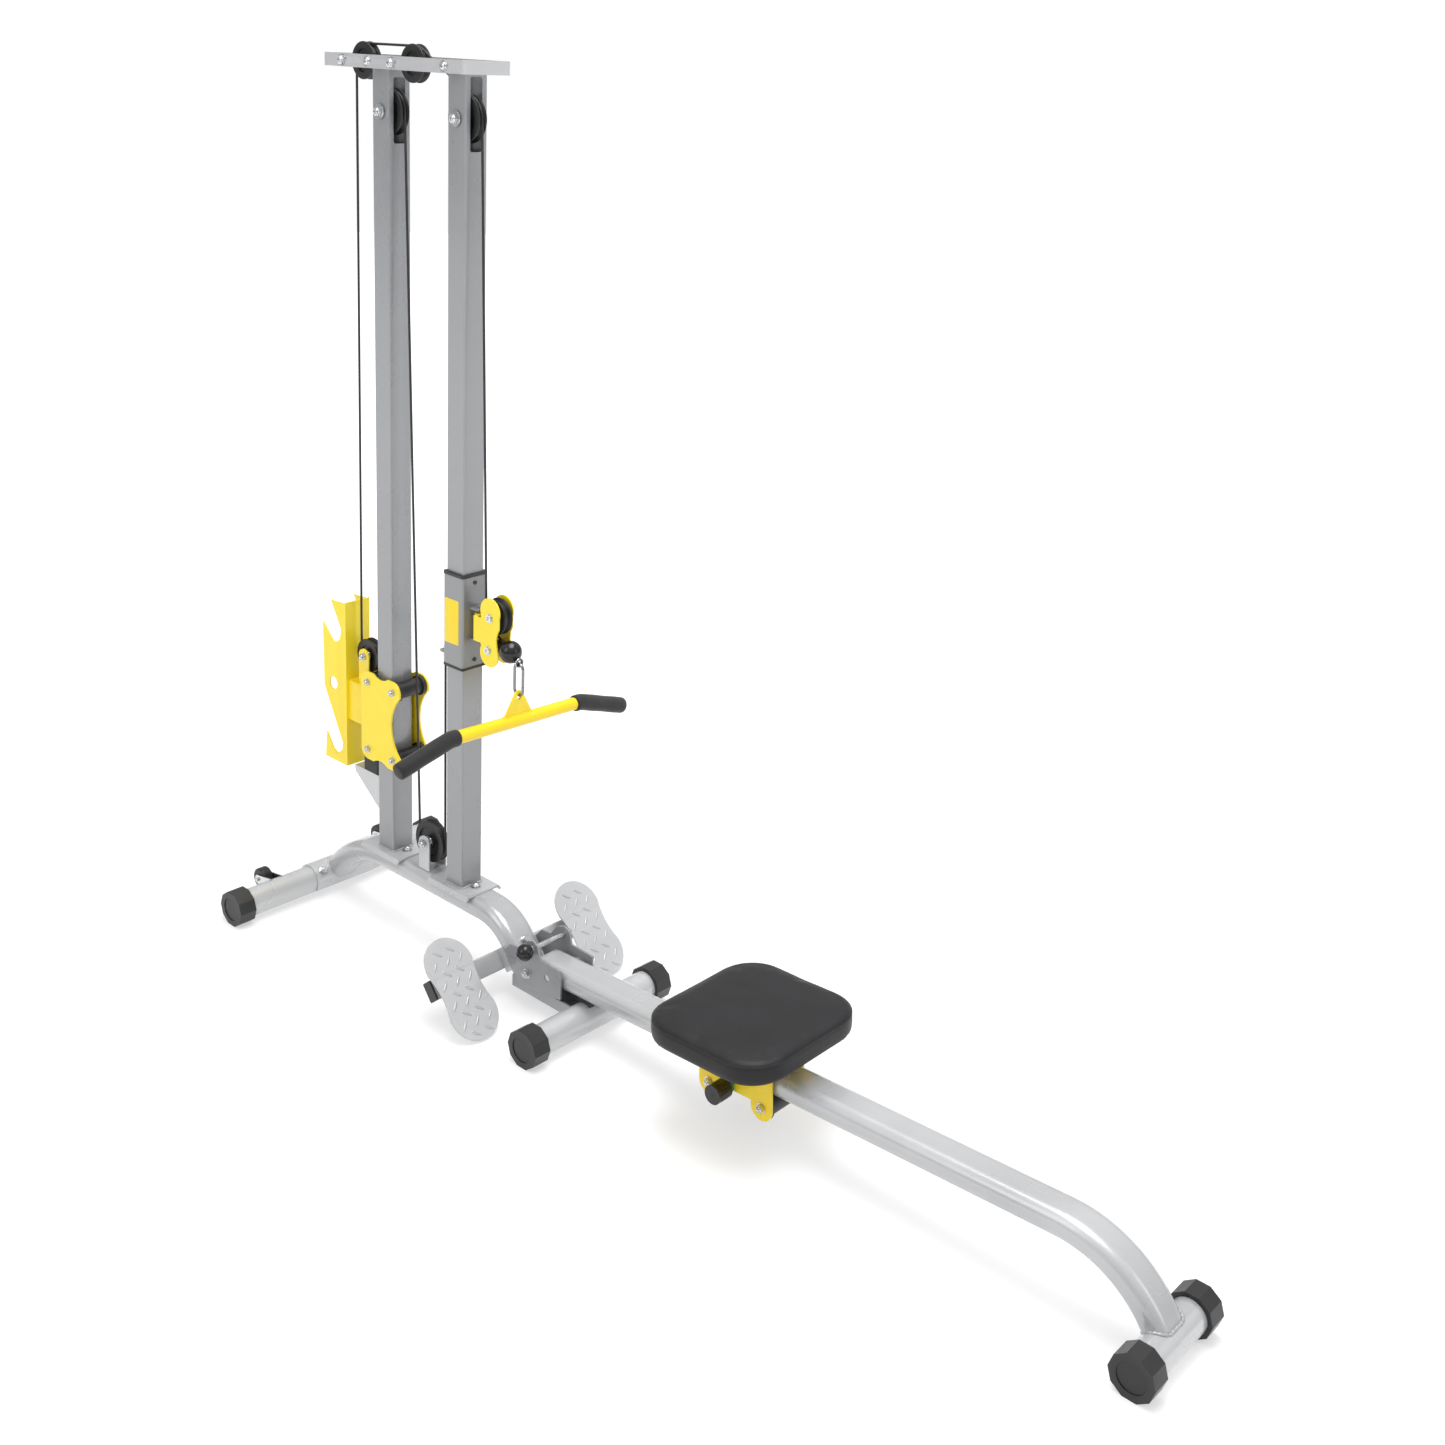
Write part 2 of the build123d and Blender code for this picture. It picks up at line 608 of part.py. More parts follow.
with BuildPart() as carriage_bolts:
    for rx in (-roller_x, roller_x):
        for rz in roller_z:
            add(y_bar(mx + rx, rz, bolt_r, -cp_out, cp_out))
            add(y_bar(mx + rx, rz, 6.5, -cp_out - 4, -cp_out))
            add(y_bar(mx + rx, rz, 6.5, cp_out, cp_out + 4))
    add(y_bar(pw_c[0], pw_c[1], axle_r, -19, 19))
    add(y_bar(pw_c[0], pw_c[1], 7.5, -23, -19))
    add(y_bar(pw_c[0], pw_c[1], 7.5, 19, 23))
    add(spacer_pair(pw_c[0], pw_c[1], 8.0, pulley_half + 0.6, 16.0))
carriage_bolts.part.label = "carriage_bolts"
export_step(carriage_bolts.part, "parts/carriage_bolts.step")

# channel with two upward-opening hooks in each flange; the slots take a bar up to 30 mm
web_x = -925.0
with BuildPart() as weight_holder:
    for side in (-1, 1):
        with BuildSketch(at_y(side * 28.0)):
            with BuildLine():
                Polyline((web_x, 324), (-1003, 324), (-998, 383), (-975, 350), (-959, 343), (-943, 356),
                         (-940, 373), (-951, 393), (-1004, 490), (-1006, 634), (-978, 606), (-964, 597),
                         (-947, 608), (-941, 632), (-976, 690), (web_x, 693), close=True)
            make_face()
            with Locations((-971, 503)):
                Circle(14, mode=Mode.SUBTRACT)
        extrude(amount=-side * 3.0)
    with Locations((web_x - 1.5, 0, (324 + 695) / 2)):
        Box(3, 62, 371)
weight_holder.part.label = "weight_holder"
export_step(weight_holder.part, "parts/weight_holder.step")

# ---------------------------------------------------------------- sliding sleeve on the front mast
fx = mast_x[1]
hinge_px = -528.0         # swivel pin
barrel_len = 10.0         # guide of the spring pin
pin_travel = 8.0
with BuildPart() as sleeve:
    with BuildSketch(Plane(origin=(fx, 0, sleeve_z0))):
        RectangleRounded(sleeve_w, sleeve_d, 5)
        Rectangle(mast_w + 3.2, mast_d + 3.2, mode=Mode.SUBTRACT)
    extrude(amount=sleeve_z1 - sleeve_z0)
    # two ears and the swivel pin
    for ez in (712.0, 776.0):
        with BuildSketch(Plane(origin=(0, 0, ez))):
            with BuildLine():
                Polyline((fx + sleeve_w / 2 - 0.5, -14), (hinge_px, -10), (hinge_px, 10),
                         (fx + sleeve_w / 2 - 0.5, 14), close=True)
            make_face()
            with Locations((hinge_px, 0)):
                Circle(10)
        extrude(amount=4)
    with Locations((hinge_px, 0, 707)):
        Cylinder(4.0, 78, align=(Align.CENTER, Align.CENTER, Align.MIN))
    # barrel of the spring pin on the back and the lug that holds the cable end
    pin_at = Plane(origin=(fx - sleeve_w / 2 + 0.5, 0, 741), z_dir=(-1, 0, 0))
    add(rod(pin_at, 8, barrel_len))
    add(rod(pin_at.offset(-45), 4.6 + fit, 90), mode=Mode.SUBTRACT)
    with Locations((fx - sleeve_w / 2 - 18.5, 0, 664)):
        Box(39, 16, 6)
    with Locations((fx - sleeve_w / 2 - 2, 0, 676)):
        Box(4, 16, 30)
    with Locations((p5_c[0] + large_pitch, 0, 664)):
        Cylinder(cable_r + 0.6, 20, mode=Mode.SUBTRACT)
    with BuildSketch(Plane(origin=(fx, 0, 600))):
        Rectangle(mast_w + 3.2, mast_d + 3.2)
    extrude(amount=300, mode=Mode.SUBTRACT)
sleeve.part.label = "sleeve"
export_step(sleeve.part, "parts/sleeve.step")

with BuildPart() as sleeve_trim:
    for cz, ch in ((sleeve_z0 - 5, 5.0), (sleeve_z1, 6.0)):
        with BuildSketch(Plane(origin=(fx, 0, cz))):
            RectangleRounded(sleeve_w + 2, sleeve_d + 2, 5)
            Rectangle(mast_w + 0.8, mast_d + 0.8, mode=Mode.SUBTRACT)
        extrude(amount=ch)
    for sz in (669.0, 829.0):
        add(rod(Plane(origin=(fx + sleeve_w / 2, 0, sz), z_dir=(1, 0, 0)), 4.0, 2.0))
sleeve_trim.part.label = "sleeve_trim"
export_step(sleeve_trim.part, "parts/sleeve_trim.step")

# spring pin, drawn pulled back clear of the mast, so the sleeve is free to slide
pin_clear = 0.8
with BuildPart() as pop_pin:
    tip = Plane(origin=(fx - mast_w / 2 - pin_clear, 0, 741), z_dir=(-1, 0, 0))
    collar = (sleeve_w - mast_w) / 2 - 0.5 - pin_clear + barrel_len + pin_travel + 0.4
    add(rod(tip, 4.6, collar + 2))
    add(rod(tip.offset(collar), 6.5, 7))
pop_pin.part.label = "pop_pin"
export_step(pop_pin.part, "parts/pop_pin.step")

# ---------------------------------------------------------------- swivel bracket
with BuildPart() as swivel_plates:
    for side in (-1, 1):
        with BuildSketch(at_y(side * 16.0)):
            with Locations((-475, 752)):
                Rectangle(53, 72)
            with Locations((-475, 788)):
                Circle(28)
            with Locations((-476.5, 702)):
                Circle(26.5)
            with Locations((-412, 733)):
                Circle(44, mode=Mode.SUBTRACT)
            with Locations((-506, 744.5)):
                Rectangle(34, 51)
            with Locations(ps_c):
                Circle(axle_r, mode=Mode.SUBTRACT)
            with Locations(rs_c):
                Circle(bolt_r, mode=Mode.SUBTRACT)
        extrude(amount=-side * 3.0)
    with Locations((-518, 0, 744.5)):
        Box(4, 32, 51)
    with Locations((hinge_px, 0, 719)):
        Cylinder(9.0, 51, align=(Align.CENTER, Align.CENTER, Align.MIN))
        Cylinder(4.0 + fit, 51, align=(Align.CENTER, Align.CENTER, Align.MIN), mode=Mode.SUBTRACT)
swivel_plates.part.label = "swivel_plates"
export_step(swivel_plates.part, "parts/swivel_plates.step")

with BuildPart() as swivel_bolts:
    add(y_bar(ps_c[0], ps_c[1], axle_r, -19, 19))
    add(y_bar(rs_c[0], rs_c[1], bolt_r, -19, 19))
    for centre in (ps_c, rs_c):
        add(y_bar(centre[0], centre[1], 7.0, -23.5, -19))
        add(y_bar(centre[0], centre[1], 7.0, 19, 23.5))
    add(spacer_pair(ps_c[0], ps_c[1], 8.0, pulley_half + 0.6, 16.0))
swivel_bolts.part.label = "swivel_bolts"
export_step(swivel_bolts.part, "parts/swivel_bolts.step")

with BuildPart() as roller_swivel:
    add(y_bar(rs_c[0], rs_c[1], rs_r, -15.4, 15.4))
    fillet(roller_swivel.edges(), 2)
    add(y_bar(rs_c[0], rs_c[1], bolt_r + fit, -30, 30), mode=Mode.SUBTRACT)
roller_swivel.part.label = "roller_swivel"
export_step(roller_swivel.part, "parts/roller_swivel.step")


# ---------------------------------------------------------------- cable route
def tangent(a, ra, b, rb):
    """Contact points of a line that touches circle a on its left and circle b on its left.
    A positive radius keeps the circle on the left of travel, a negative one on the right."""
    dx = b[0] - a[0]
    dz = b[1] - a[1]
    dist = hypot(dx, dz)
    along = atan2(dz, dx)
    turn = asin((ra - rb) / dist)
    nx = sin(along + turn)
    nz = -cos(along + turn)
    return (a[0] + ra * nx, a[1] + ra * nz), (b[0] + rb * nx, b[1] + rb * nz)


def angle_of(centre, point):
    return degrees(atan2(point[1] - centre[1], point[0] - centre[0]))


def cord(pieces):
    """Round solid along straight runs and arcs joined tangentially, in the plane Y = 0."""
    with BuildPart() as solid:
        with BuildLine(Plane.XZ) as line:
            for piece in pieces:
                if piece[0] == "run":
                    Line(piece[1], piece[2])
                else:
                    CenterArc(piece[1], piece[2], piece[3], piece[4])
        with BuildSketch(Plane(origin=line.line @ 0, x_dir=(0, 1, 0), z_dir=line.line % 0)):
            Circle(cable_r)
        sweep(path=line.line)
    length = sum(edge.length for edge in line.edges())
    ratio = solid.part.volume / (pi * cable_r ** 2 * length)
    print("cord length %.1f mm, volume ratio %.4f" % (length, ratio))
    return solid, length


def wrap(centre, radius, p_in, p_out, turn):
    """Arc on a pulley from one contact point to the next, turn is +1 for anticlockwise."""
    a0 = angle_of(centre, p_in)
    a1 = angle_of(centre, p_out)
    size = (a1 - a0) % 360 if turn > 0 else -((a0 - a1) % 360)
    return ("arc", centre, radius, a0, size)


sp, lp = small_pitch, large_pitch
anchor = (p5_c[0] + large_pitch, 661.0)
# travelling from the ball: under the swivel pulley, up, over the head, down, round the carriage pulley, up,
# over the rear mast pulley, down, under the low pulley, up to the lug on the sleeve
b_out, s_in = tangent(ball_c, 0.0, ps_c, -sp)
s_out, f_in = tangent(ps_c, -sp, p4_c, lp)
f_out, m_in = tangent(p4_c, lp, p2_c, sp)
m_out, r_in = tangent(p2_c, sp, p1_c, sp)
r_out, w_in = tangent(p1_c, sp, pw_c, sp)
w_out, t_in = tangent(pw_c, sp, p3_c, -lp)
t_out, l_in = tangent(p3_c, -lp, p5_c, lp)
l_out = (p5_c[0] + lp, p5_c[1])

total = 0.0
with BuildPart() as cable_frame:
    head, length = cord([wrap(p4_c, lp, f_in, f_out, 1), ("run", f_out, m_in),
                         wrap(p2_c, sp, m_in, m_out, 1),
                         ("run", m_out, r_in), wrap(p1_c, sp, r_in, r_out, 1)])
    total += length
    middle, length = cord([wrap(p3_c, lp, t_in, t_out, -1), ("run", t_out, l_in),
                           wrap(p5_c, lp, l_in, l_out, 1)])
    total += length
    add(head.part)
    add(middle.part)
cable_frame.part.label = "cable_frame"
export_step(cable_frame.part, "parts/cable_frame.step")

with BuildPart() as cable_lift_runs:
    run_a, length = cord([("run", r_out, w_in)])
    total += length
    run_b, length = cord([("run", w_out, t_in)])
    total += length
    add(run_a.part)
    add(run_b.part)
cable_lift_runs.part.label = "cable_lift_runs"
export_step(cable_lift_runs.part, "parts/cable_lift_runs.step")

cable_carriage, length = cord([wrap(pw_c, sp, w_in, w_out, 1)])
total += length
cable_carriage.part.label = "cable_carriage"
export_step(cable_carriage.part, "parts/cable_carriage.step")

cable_run_front, length = cord([("run", s_out, f_in)])
total += length
cable_run_front.part.label = "cable_run_front"
export_step(cable_run_front.part, "parts/cable_run_front.step")

cable_run_back, length = cord([("run", l_out, anchor)])
total += length
cable_run_back.part.label = "cable_run_back"
export_step(cable_run_back.part, "parts/cable_run_back.step")

cable_swivel, length = cord([wrap(ps_c, sp, s_in, s_out, -1)])
total += length
cable_swivel.part.label = "cable_swivel"
export_step(cable_swivel.part, "parts/cable_swivel.step")

pull = Vector(b_out[0] - s_in[0], 0, b_out[1] - s_in[1]).normalized()
near_ball = (ball_c[0] - pull.X * (ball_r + 0.2), ball_c[1] - pull.Z * (ball_r + 0.2))
cable_end, length = cord([("run", s_in, near_ball)])
total += length
cable_end.part.label = "cable_end"
export_step(cable_end.part, "parts/cable_end.step")
print("whole cable %.0f mm, pull direction %.4f %.4f" % (total, pull.X, pull.Z))
print("swivel to front pulley at x %.1f .. %.1f" % (s_out[0], f_in[0]))

# ---------------------------------------------------------------- ball, snap hook and bar
eye_c = (ball_c[0] + pull.X * (ball_r + 6.5), ball_c[1] + pull.Z * (ball_r + 6.5))
with BuildPart() as ball_stop:
    with Locations((ball_c[0], 0, ball_c[1])):
        Sphere(ball_r)
    eye = Plane(origin=(eye_c[0] - 2.5, 0, eye_c[1]), z_dir=(1, 0, 0))
    add(rod(eye, 9.0, 5))
    neck = Plane(origin=(ball_c[0] + 10, 0, eye_c[1] + 7.3), z_dir=(1, 0, 0))
    add(rod(neck, 2.0, eye_c[0] + 2.5 - ball_c[0] - 10))
    add(rod(eye, 5.5, 5), mode=Mode.SUBTRACT)
ball_stop.part.label = "ball_stop"
export_step(ball_stop.part, "parts/ball_stop.step")

hook_x = eye_c[0]
wire_r = 3.0
hook_top = eye_c[1] - 5.5 + wire_r + 0.45
hook_bend = 12.0
tab_hole_r = 6.0
hook_low = 632.0
tab_hole_z = hook_low - (tab_hole_r - wire_r - 0.45)
gate_z0 = hook_low + 20.0
gate_z1 = hook_top - 18.0
with BuildPart() as carabiner:
    with BuildLine(Plane.XZ) as loop:
        Line((hook_x + hook_bend, gate_z0), (hook_x + hook_bend, hook_low + hook_bend))
        CenterArc((hook_x, hook_low + hook_bend), hook_bend, 0, -180)
        Line((hook_x - hook_bend, hook_low + hook_bend), (hook_x - hook_bend, hook_top - hook_bend))
        CenterArc((hook_x, hook_top - hook_bend), hook_bend, 180, -180)
        Line((hook_x + hook_bend, hook_top - hook_bend), (hook_x + hook_bend, gate_z1))
    with BuildSketch(Plane(origin=loop.line @ 0, x_dir=(0, 1, 0), z_dir=loop.line % 0)):
        Circle(wire_r)
    sweep(path=loop.line)
carabiner.part.label = "carabiner"
export_step(carabiner.part, "parts/carabiner.step")

with BuildPart() as carabiner_gate:
    with Locations((hook_x + hook_bend, 0, gate_z0 + 1.6)):
        Cylinder(wire_r - 0.1, gate_z1 - gate_z0 - 1.9, align=(Align.CENTER, Align.CENTER, Align.MIN))
carabiner_gate.part.label = "carabiner_gate"
export_step(carabiner_gate.part, "parts/carabiner_gate.step")

bar_x = hook_x
bend_y = 168.0
bar_drop = 16.0
bar_lean = -2.2           # the bar hangs a little lower on the +Y side
bar_bend_r = 60.0
bar_arm = 114.0
bd = radians(bar_drop)
BAR_SIDE = Plane(origin=(bar_x, 0, bar_z), x_dir=(0, 1, 0), z_dir=(1, 0, 0))
BAR_HANG = Axis((bar_x, 0, tab_hole_z), (1, 0, 0))
tab_z = tab_hole_z - bar_z


def bar_path(y_start):
    """Half of the bar on the +Y side: straight, bend down, straight."""
    with BuildLine(BAR_SIDE) as half:
        straight = bend_y - bar_bend_r * bd / 2
        Line((y_start, 0), (straight, 0))
        CenterArc((straight, -bar_bend_r), bar_bend_r, 90, -bar_drop)
        ex = straight + bar_bend_r * sin(bd)
        ez = -bar_bend_r * (1 - cos(bd))
        Line((ex, ez), (ex + bar_arm * cos(bd), ez - bar_arm * sin(bd)))
    return half


with BuildPart() as bar_half:
    arm = bar_path(0.0)
    with BuildSketch(Plane(origin=arm.line @ 0, x_dir=(1, 0, 0), z_dir=arm.line % 0)):
        Circle(bar_r)
        Circle(bar_r - 2.0, mode=Mode.SUBTRACT)
    sweep(path=arm.line)
with BuildPart() as lat_bar:
    add(bar_half.part)
    mirror(about=Plane.XZ)
    with BuildSketch(BAR_SIDE.offset(-2.5)):
        with BuildLine():
            Polyline((-36, bar_r - 4), (36, bar_r - 4), (9, tab_z + 7), (-9, tab_z + 7), close=True)
        make_face()
        with Locations((0, tab_z)):
            Circle(12)
            Circle(tab_hole_r, mode=Mode.SUBTRACT)
    extrude(amount=5)
    add(rod(Plane(origin=(bar_x, -140, bar_z), z_dir=(0, 1, 0)), bar_r - 2.0, 280), mode=Mode.SUBTRACT)
hung_bar = lat_bar.part.rotate(BAR_HANG, bar_lean)
hung_bar.label = "lat_bar"
export_step(hung_bar, "parts/lat_bar.step")

with BuildPart() as grip_half:
    arm = bar_path(150.0)
    with BuildSketch(Plane(origin=arm.line @ 0, x_dir=(1, 0, 0), z_dir=arm.line % 0)):
        Circle(grip_r)
        Circle(bar_r + 0.02, mode=Mode.SUBTRACT)
    sweep(path=arm.line)
    end = arm.line @ 1
    with BuildSketch(Plane(origin=end, x_dir=(1, 0, 0), z_dir=arm.line % 1)):
        Circle(grip_r)
    extrude(amount=4)
with BuildPart() as bar_grips:
    add(grip_half.part)
    mirror(about=Plane.XZ)
hung_grips = bar_grips.part.rotate(BAR_HANG, bar_lean)
hung_grips.label = "bar_grips"
export_step(hung_grips, "parts/bar_grips.step")

# ---------------------------------------------------------------- locking pin of the folding rail
with BuildPart() as lock_pin:
    add(y_bar(pin_x, pin_z, lock_r, -66, 58))
    add(y_bar(pin_x, pin_z, 9.0, -52, -45))
    with Locations((pin_x, -64, pin_z)):
        Sphere(16.5)
lock_pin.part.label = "lock_pin"
export_step(lock_pin.part, "parts/lock_pin.step")

# ---------------------------------------------------------------- folding rail with the front foot
foot_dx = front_x - hinge_x
foot_dz = foot_z - hinge_z
foot_s = foot_dx * cos(ea) + foot_dz * sin(ea)
foot_t = -foot_dx * sin(ea) + foot_dz * cos(ea)
rail_straight = foot_s - (rail_bend_r ** 2 - (foot_t + rail_bend_r) ** 2) ** 0.5
bend_deg = degrees(atan2(foot_s - rail_straight, foot_t + rail_bend_r))
with BuildPart() as rail:
    with BuildLine(RAIL_SIDE) as way:
        Line((-rail_rear, 0), (rail_straight, 0))
        CenterArc((rail_straight, -rail_bend_r), rail_bend_r, 90, -bend_deg)
    with BuildSketch(Plane(origin=way.line @ 0, x_dir=(0, 1, 0), z_dir=way.line % 0)):
        RectangleRounded(beam_w, beam_h, beam_corner)
        RectangleRounded(beam_w - 2 * beam_wall, beam_h - 2 * beam_wall, beam_corner - beam_wall,
                         mode=Mode.SUBTRACT)
    sweep(path=way.line)
    with BuildSketch(Plane(origin=way.line @ 0, x_dir=(0, 1, 0), z_dir=way.line % 0)):
        RectangleRounded(beam_w, beam_h, beam_corner)
    extrude(amount=3)
    add(y_bar(hinge_x, hinge_z, 12.0, -39.6, 39.6))
    add(y_bar(hinge_x, hinge_z, hinge_r + fit, -60, 60), mode=Mode.SUBTRACT)
    add(y_bar(front_x, foot_z, tube_r, -front_half + cap_face, front_half - cap_face))
    add(y_bar(front_x, foot_z, tube_r - tube_wall, -150, 150), mode=Mode.SUBTRACT)
rail.part.label = "rail"
export_step(rail.part, "parts/rail.step")
with BuildPart() as front_caps:
    add(cap_pair(front_x, front_half))
front_caps.part.label = "front_caps"
export_step(front_caps.part, "parts/front_caps.step")

# ---------------------------------------------------------------- sliding seat
wheel_s = 61.5            # seat rollers, each side of the seat centre
low_r = 20.0
low_t = -(beam_h / 2 + low_r + 0.3)
top_r = 15.0
top_t = beam_h / 2 + top_r + 0.3
sp_in = 41.0
sp_out = 45.0
knob_ds = -14.0
knob_t = -29.5

with BuildPart() as seat_pad:
    with BuildSketch(RAIL.offset(seat_t0)):
        with Locations((seat_s, 0)):
            RectangleRounded(seat_len, seat_wid, 72)
    extrude(amount=seat_thick)
    fillet(seat_pad.faces().sort_by(Axis.Z)[-1].edges(), 9)
seat_pad.part.label = "seat_pad"
export_step(seat_pad.part, "parts/seat_pad.step")

with BuildPart() as seat_carriage:
    with BuildSketch(RAIL.offset(seat_t0 - 4)):
        with Locations((seat_s, 0)):
            RectangleRounded(210, 130, 12)
    extrude(amount=4)
    for side in (-1, 1):
        with BuildSketch(RAIL_SIDE.offset(-side * sp_in)):
            with BuildLine():
                Polyline((seat_s - 84, seat_t0 - 3.9), (seat_s + 84, seat_t0 - 3.9),
                         (seat_s + wheel_s + 24, low_t), (seat_s + 36, -36.5), (seat_s - 36, -36.5),
                         (seat_s - wheel_s - 24, low_t), close=True)
            make_face()
            for ds in (-wheel_s, wheel_s):
                with Locations((seat_s + ds, low_t)):
                    Circle(24)
                    Circle(bolt_r, mode=Mode.SUBTRACT)
                with Locations((seat_s + ds, top_t)):
                    Circle(bolt_r, mode=Mode.SUBTRACT)
            with Locations((seat_s + knob_ds, knob_t)):
                Circle(5.0 + fit, mode=Mode.SUBTRACT)
        extrude(amount=-side * (sp_out - sp_in))
    for ds in (-wheel_s, wheel_s):
        for t in (low_t, top_t):
            with Locations(RAIL_SIDE):
                with Locations((seat_s + ds, t)):
                    Cylinder(bolt_r, 2 * sp_out)
            for side in (-1, 1):
                with Locations(RAIL_SIDE.offset(-side * (sp_out + 2.5))):
                    with Locations((seat_s + ds, t)):
                        Cylinder(8.0, 5.0)
seat_carriage.part.label = "seat_carriage"
export_step(seat_carriage.part, "parts/seat_carriage.step")

for label, ds, t, radius in (("seat_roller_low_rear", -wheel_s, low_t, low_r),
                             ("seat_roller_low_front", wheel_s, low_t, low_r),
                             ("seat_roller_top_rear", -wheel_s, top_t, top_r),
                             ("seat_roller_top_front", wheel_s, top_t, top_r)):
    with BuildPart() as roller:
        with Locations(RAIL_SIDE):
            with Locations((seat_s + ds, t)):
                Cylinder(radius, 2 * 36.6)
        if radius == low_r:
            for side in (-1, 1):
                with Locations(RAIL_SIDE.offset(side * 38.5)):
                    with Locations((seat_s + ds, t)):
                        Cylinder(radius + 4.0, 3.8)
        with Locations(RAIL_SIDE):
            with Locations((seat_s + ds, t)):
                Cylinder(bolt_r + fit, 120, mode=Mode.SUBTRACT)
    roller.part.label = label
    export_step(roller.part, "parts/" + label + ".step")

with BuildPart() as seat_knob:
    with Locations(RAIL_SIDE.offset(18)):
        with Locations((seat_s + knob_ds, knob_t)):
            Cylinder(5.0, 132)
    with Locations(RAIL_SIDE.offset(72)):
        with Locations((seat_s + knob_ds, knob_t)):
            Cylinder(18.0, 34)
seat_knob.part.label = "seat_knob"
export_step(seat_knob.part, "parts/seat_knob.step")
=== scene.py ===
import json
from math import cos, hypot, pi, radians, sin, sqrt

import bmesh
import bpy
from mathutils import Matrix, Vector, noise
from mathutils.bvhtree import BVHTree


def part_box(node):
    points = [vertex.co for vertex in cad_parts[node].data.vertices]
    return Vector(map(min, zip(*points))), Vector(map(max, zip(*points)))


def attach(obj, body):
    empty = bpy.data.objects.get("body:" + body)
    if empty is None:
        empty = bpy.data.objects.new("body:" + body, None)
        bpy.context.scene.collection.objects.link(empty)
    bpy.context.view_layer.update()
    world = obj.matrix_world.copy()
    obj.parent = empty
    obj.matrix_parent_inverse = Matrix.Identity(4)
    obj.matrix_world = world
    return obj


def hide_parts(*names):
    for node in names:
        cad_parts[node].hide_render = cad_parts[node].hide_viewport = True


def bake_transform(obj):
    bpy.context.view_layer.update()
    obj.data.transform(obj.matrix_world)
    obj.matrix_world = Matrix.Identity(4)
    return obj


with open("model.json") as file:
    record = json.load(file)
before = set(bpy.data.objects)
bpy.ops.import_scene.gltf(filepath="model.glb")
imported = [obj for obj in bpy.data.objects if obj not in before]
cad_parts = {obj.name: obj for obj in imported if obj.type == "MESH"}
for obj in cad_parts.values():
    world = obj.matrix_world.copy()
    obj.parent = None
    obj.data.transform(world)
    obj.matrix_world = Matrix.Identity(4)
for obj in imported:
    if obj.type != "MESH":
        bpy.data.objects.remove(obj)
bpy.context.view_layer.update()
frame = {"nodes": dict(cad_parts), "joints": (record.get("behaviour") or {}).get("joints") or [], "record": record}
NODES = frame["nodes"]
JOINTS = {j["name"]: j for j in frame["joints"]}
MM = 0.001

# ------------------------------------------------------------------ places taken from the frame


def joint_at(name):
    return Vector(JOINTS[name]["pos_m"])


def corners(node):
    low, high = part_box(node)
    return Vector(low), Vector(high)


def centre(node):
    low, high = corners(node)
    return (low + high) / 2


RISE = radians(2.75)                   # slope of the seat rail
LEAN = radians(45)                     # slope of the foot plates
CABLE_R = 2.5 * MM
SMALL_PITCH = 32 * MM
LARGE_PITCH = 41.5 * MM
CROSS_BOLT_X, CROSS_BOLT_Y, CROSS_BOLT_Z = -325 * MM, 44 * MM, 81 * MM
SADDLE_BOLT_X, SADDLE_BOLT_Z = 38.5 * MM, 173 * MM      # from the middle of a mast, above the floor
REAR_BOLT_Y, REAR_BOLT_OUT = 57 * MM, 34 * MM           # along the rear tube, and out from its axis
LABEL_Z = 746.5 * MM
BAR_HOLE_Z = 629.45 * MM
BAR_TAB_FOOT_Z = 592.2 * MM
PULL = Vector(JOINTS["ball_pull"]["axis"]).normalized()

# ------------------------------------------------------------------ shader helpers


def new_material(name, **sockets):
    """Principled material; keyword names are socket names with underscores for spaces."""
    mat = bpy.data.materials.new(name)
    mat.use_nodes = True
    shader = mat.node_tree.nodes["Principled BSDF"]
    for key, value in sockets.items():
        shader.inputs[key.replace("_", " ")].default_value = value
    return mat, mat.node_tree, shader


def add_node(tree, kind, **settings):
    node = tree.nodes.new(kind)
    for key, value in settings.items():
        if key in node.inputs:
            node.inputs[key].default_value = value
        else:
            setattr(node, key, value)
    return node


def object_coords(tree, scale=(1, 1, 1)):
    coords = add_node(tree, "ShaderNodeTexCoord")
    mapping = add_node(tree, "ShaderNodeMapping")
    mapping.inputs["Scale"].default_value = scale
    tree.links.new(coords.outputs["Object"], mapping.inputs["Vector"])
    return mapping.outputs["Vector"]


def noise_texture(tree, coords, scale, detail=3.0, rough=0.55):
    texture = add_node(tree, "ShaderNodeTexNoise", Scale=scale, Detail=detail, Roughness=rough)
    tree.links.new(coords, texture.inputs["Vector"])
    return texture.outputs["Fac"]


def spread(tree, value, low, high, from_low=0.3, from_high=0.7):
    """Maps a texture value to the range low..high."""
    node = add_node(tree, "ShaderNodeMapRange")
    node.inputs["From Min"].default_value = from_low
    node.inputs["From Max"].default_value = from_high
    node.inputs["To Min"].default_value = low
    node.inputs["To Max"].default_value = high
    tree.links.new(value, node.inputs["Value"])
    return node.outputs["Result"]


def two_tone(tree, value, dark, light):
    ramp = add_node(tree, "ShaderNodeValToRGB")
    ramp.color_ramp.elements[0].position = 0.3
    ramp.color_ramp.elements[0].color = (*dark, 1)
    ramp.color_ramp.elements[1].position = 0.7
    ramp.color_ramp.elements[1].color = (*light, 1)
    tree.links.new(value, ramp.inputs["Fac"])
    return ramp.outputs["Color"]


def add_bump(tree, shader, height, strength, distance, round_edges=0.0):
    bump = add_node(tree, "ShaderNodeBump", Strength=strength, Distance=distance)
    tree.links.new(height, bump.inputs["Height"])
    if round_edges:
        bevel = add_node(tree, "ShaderNodeBevel", samples=4, Radius=round_edges)
        tree.links.new(bevel.outputs["Normal"], bump.inputs["Normal"])
    tree.links.new(bump.outputs["Normal"], shader.inputs["Normal"])


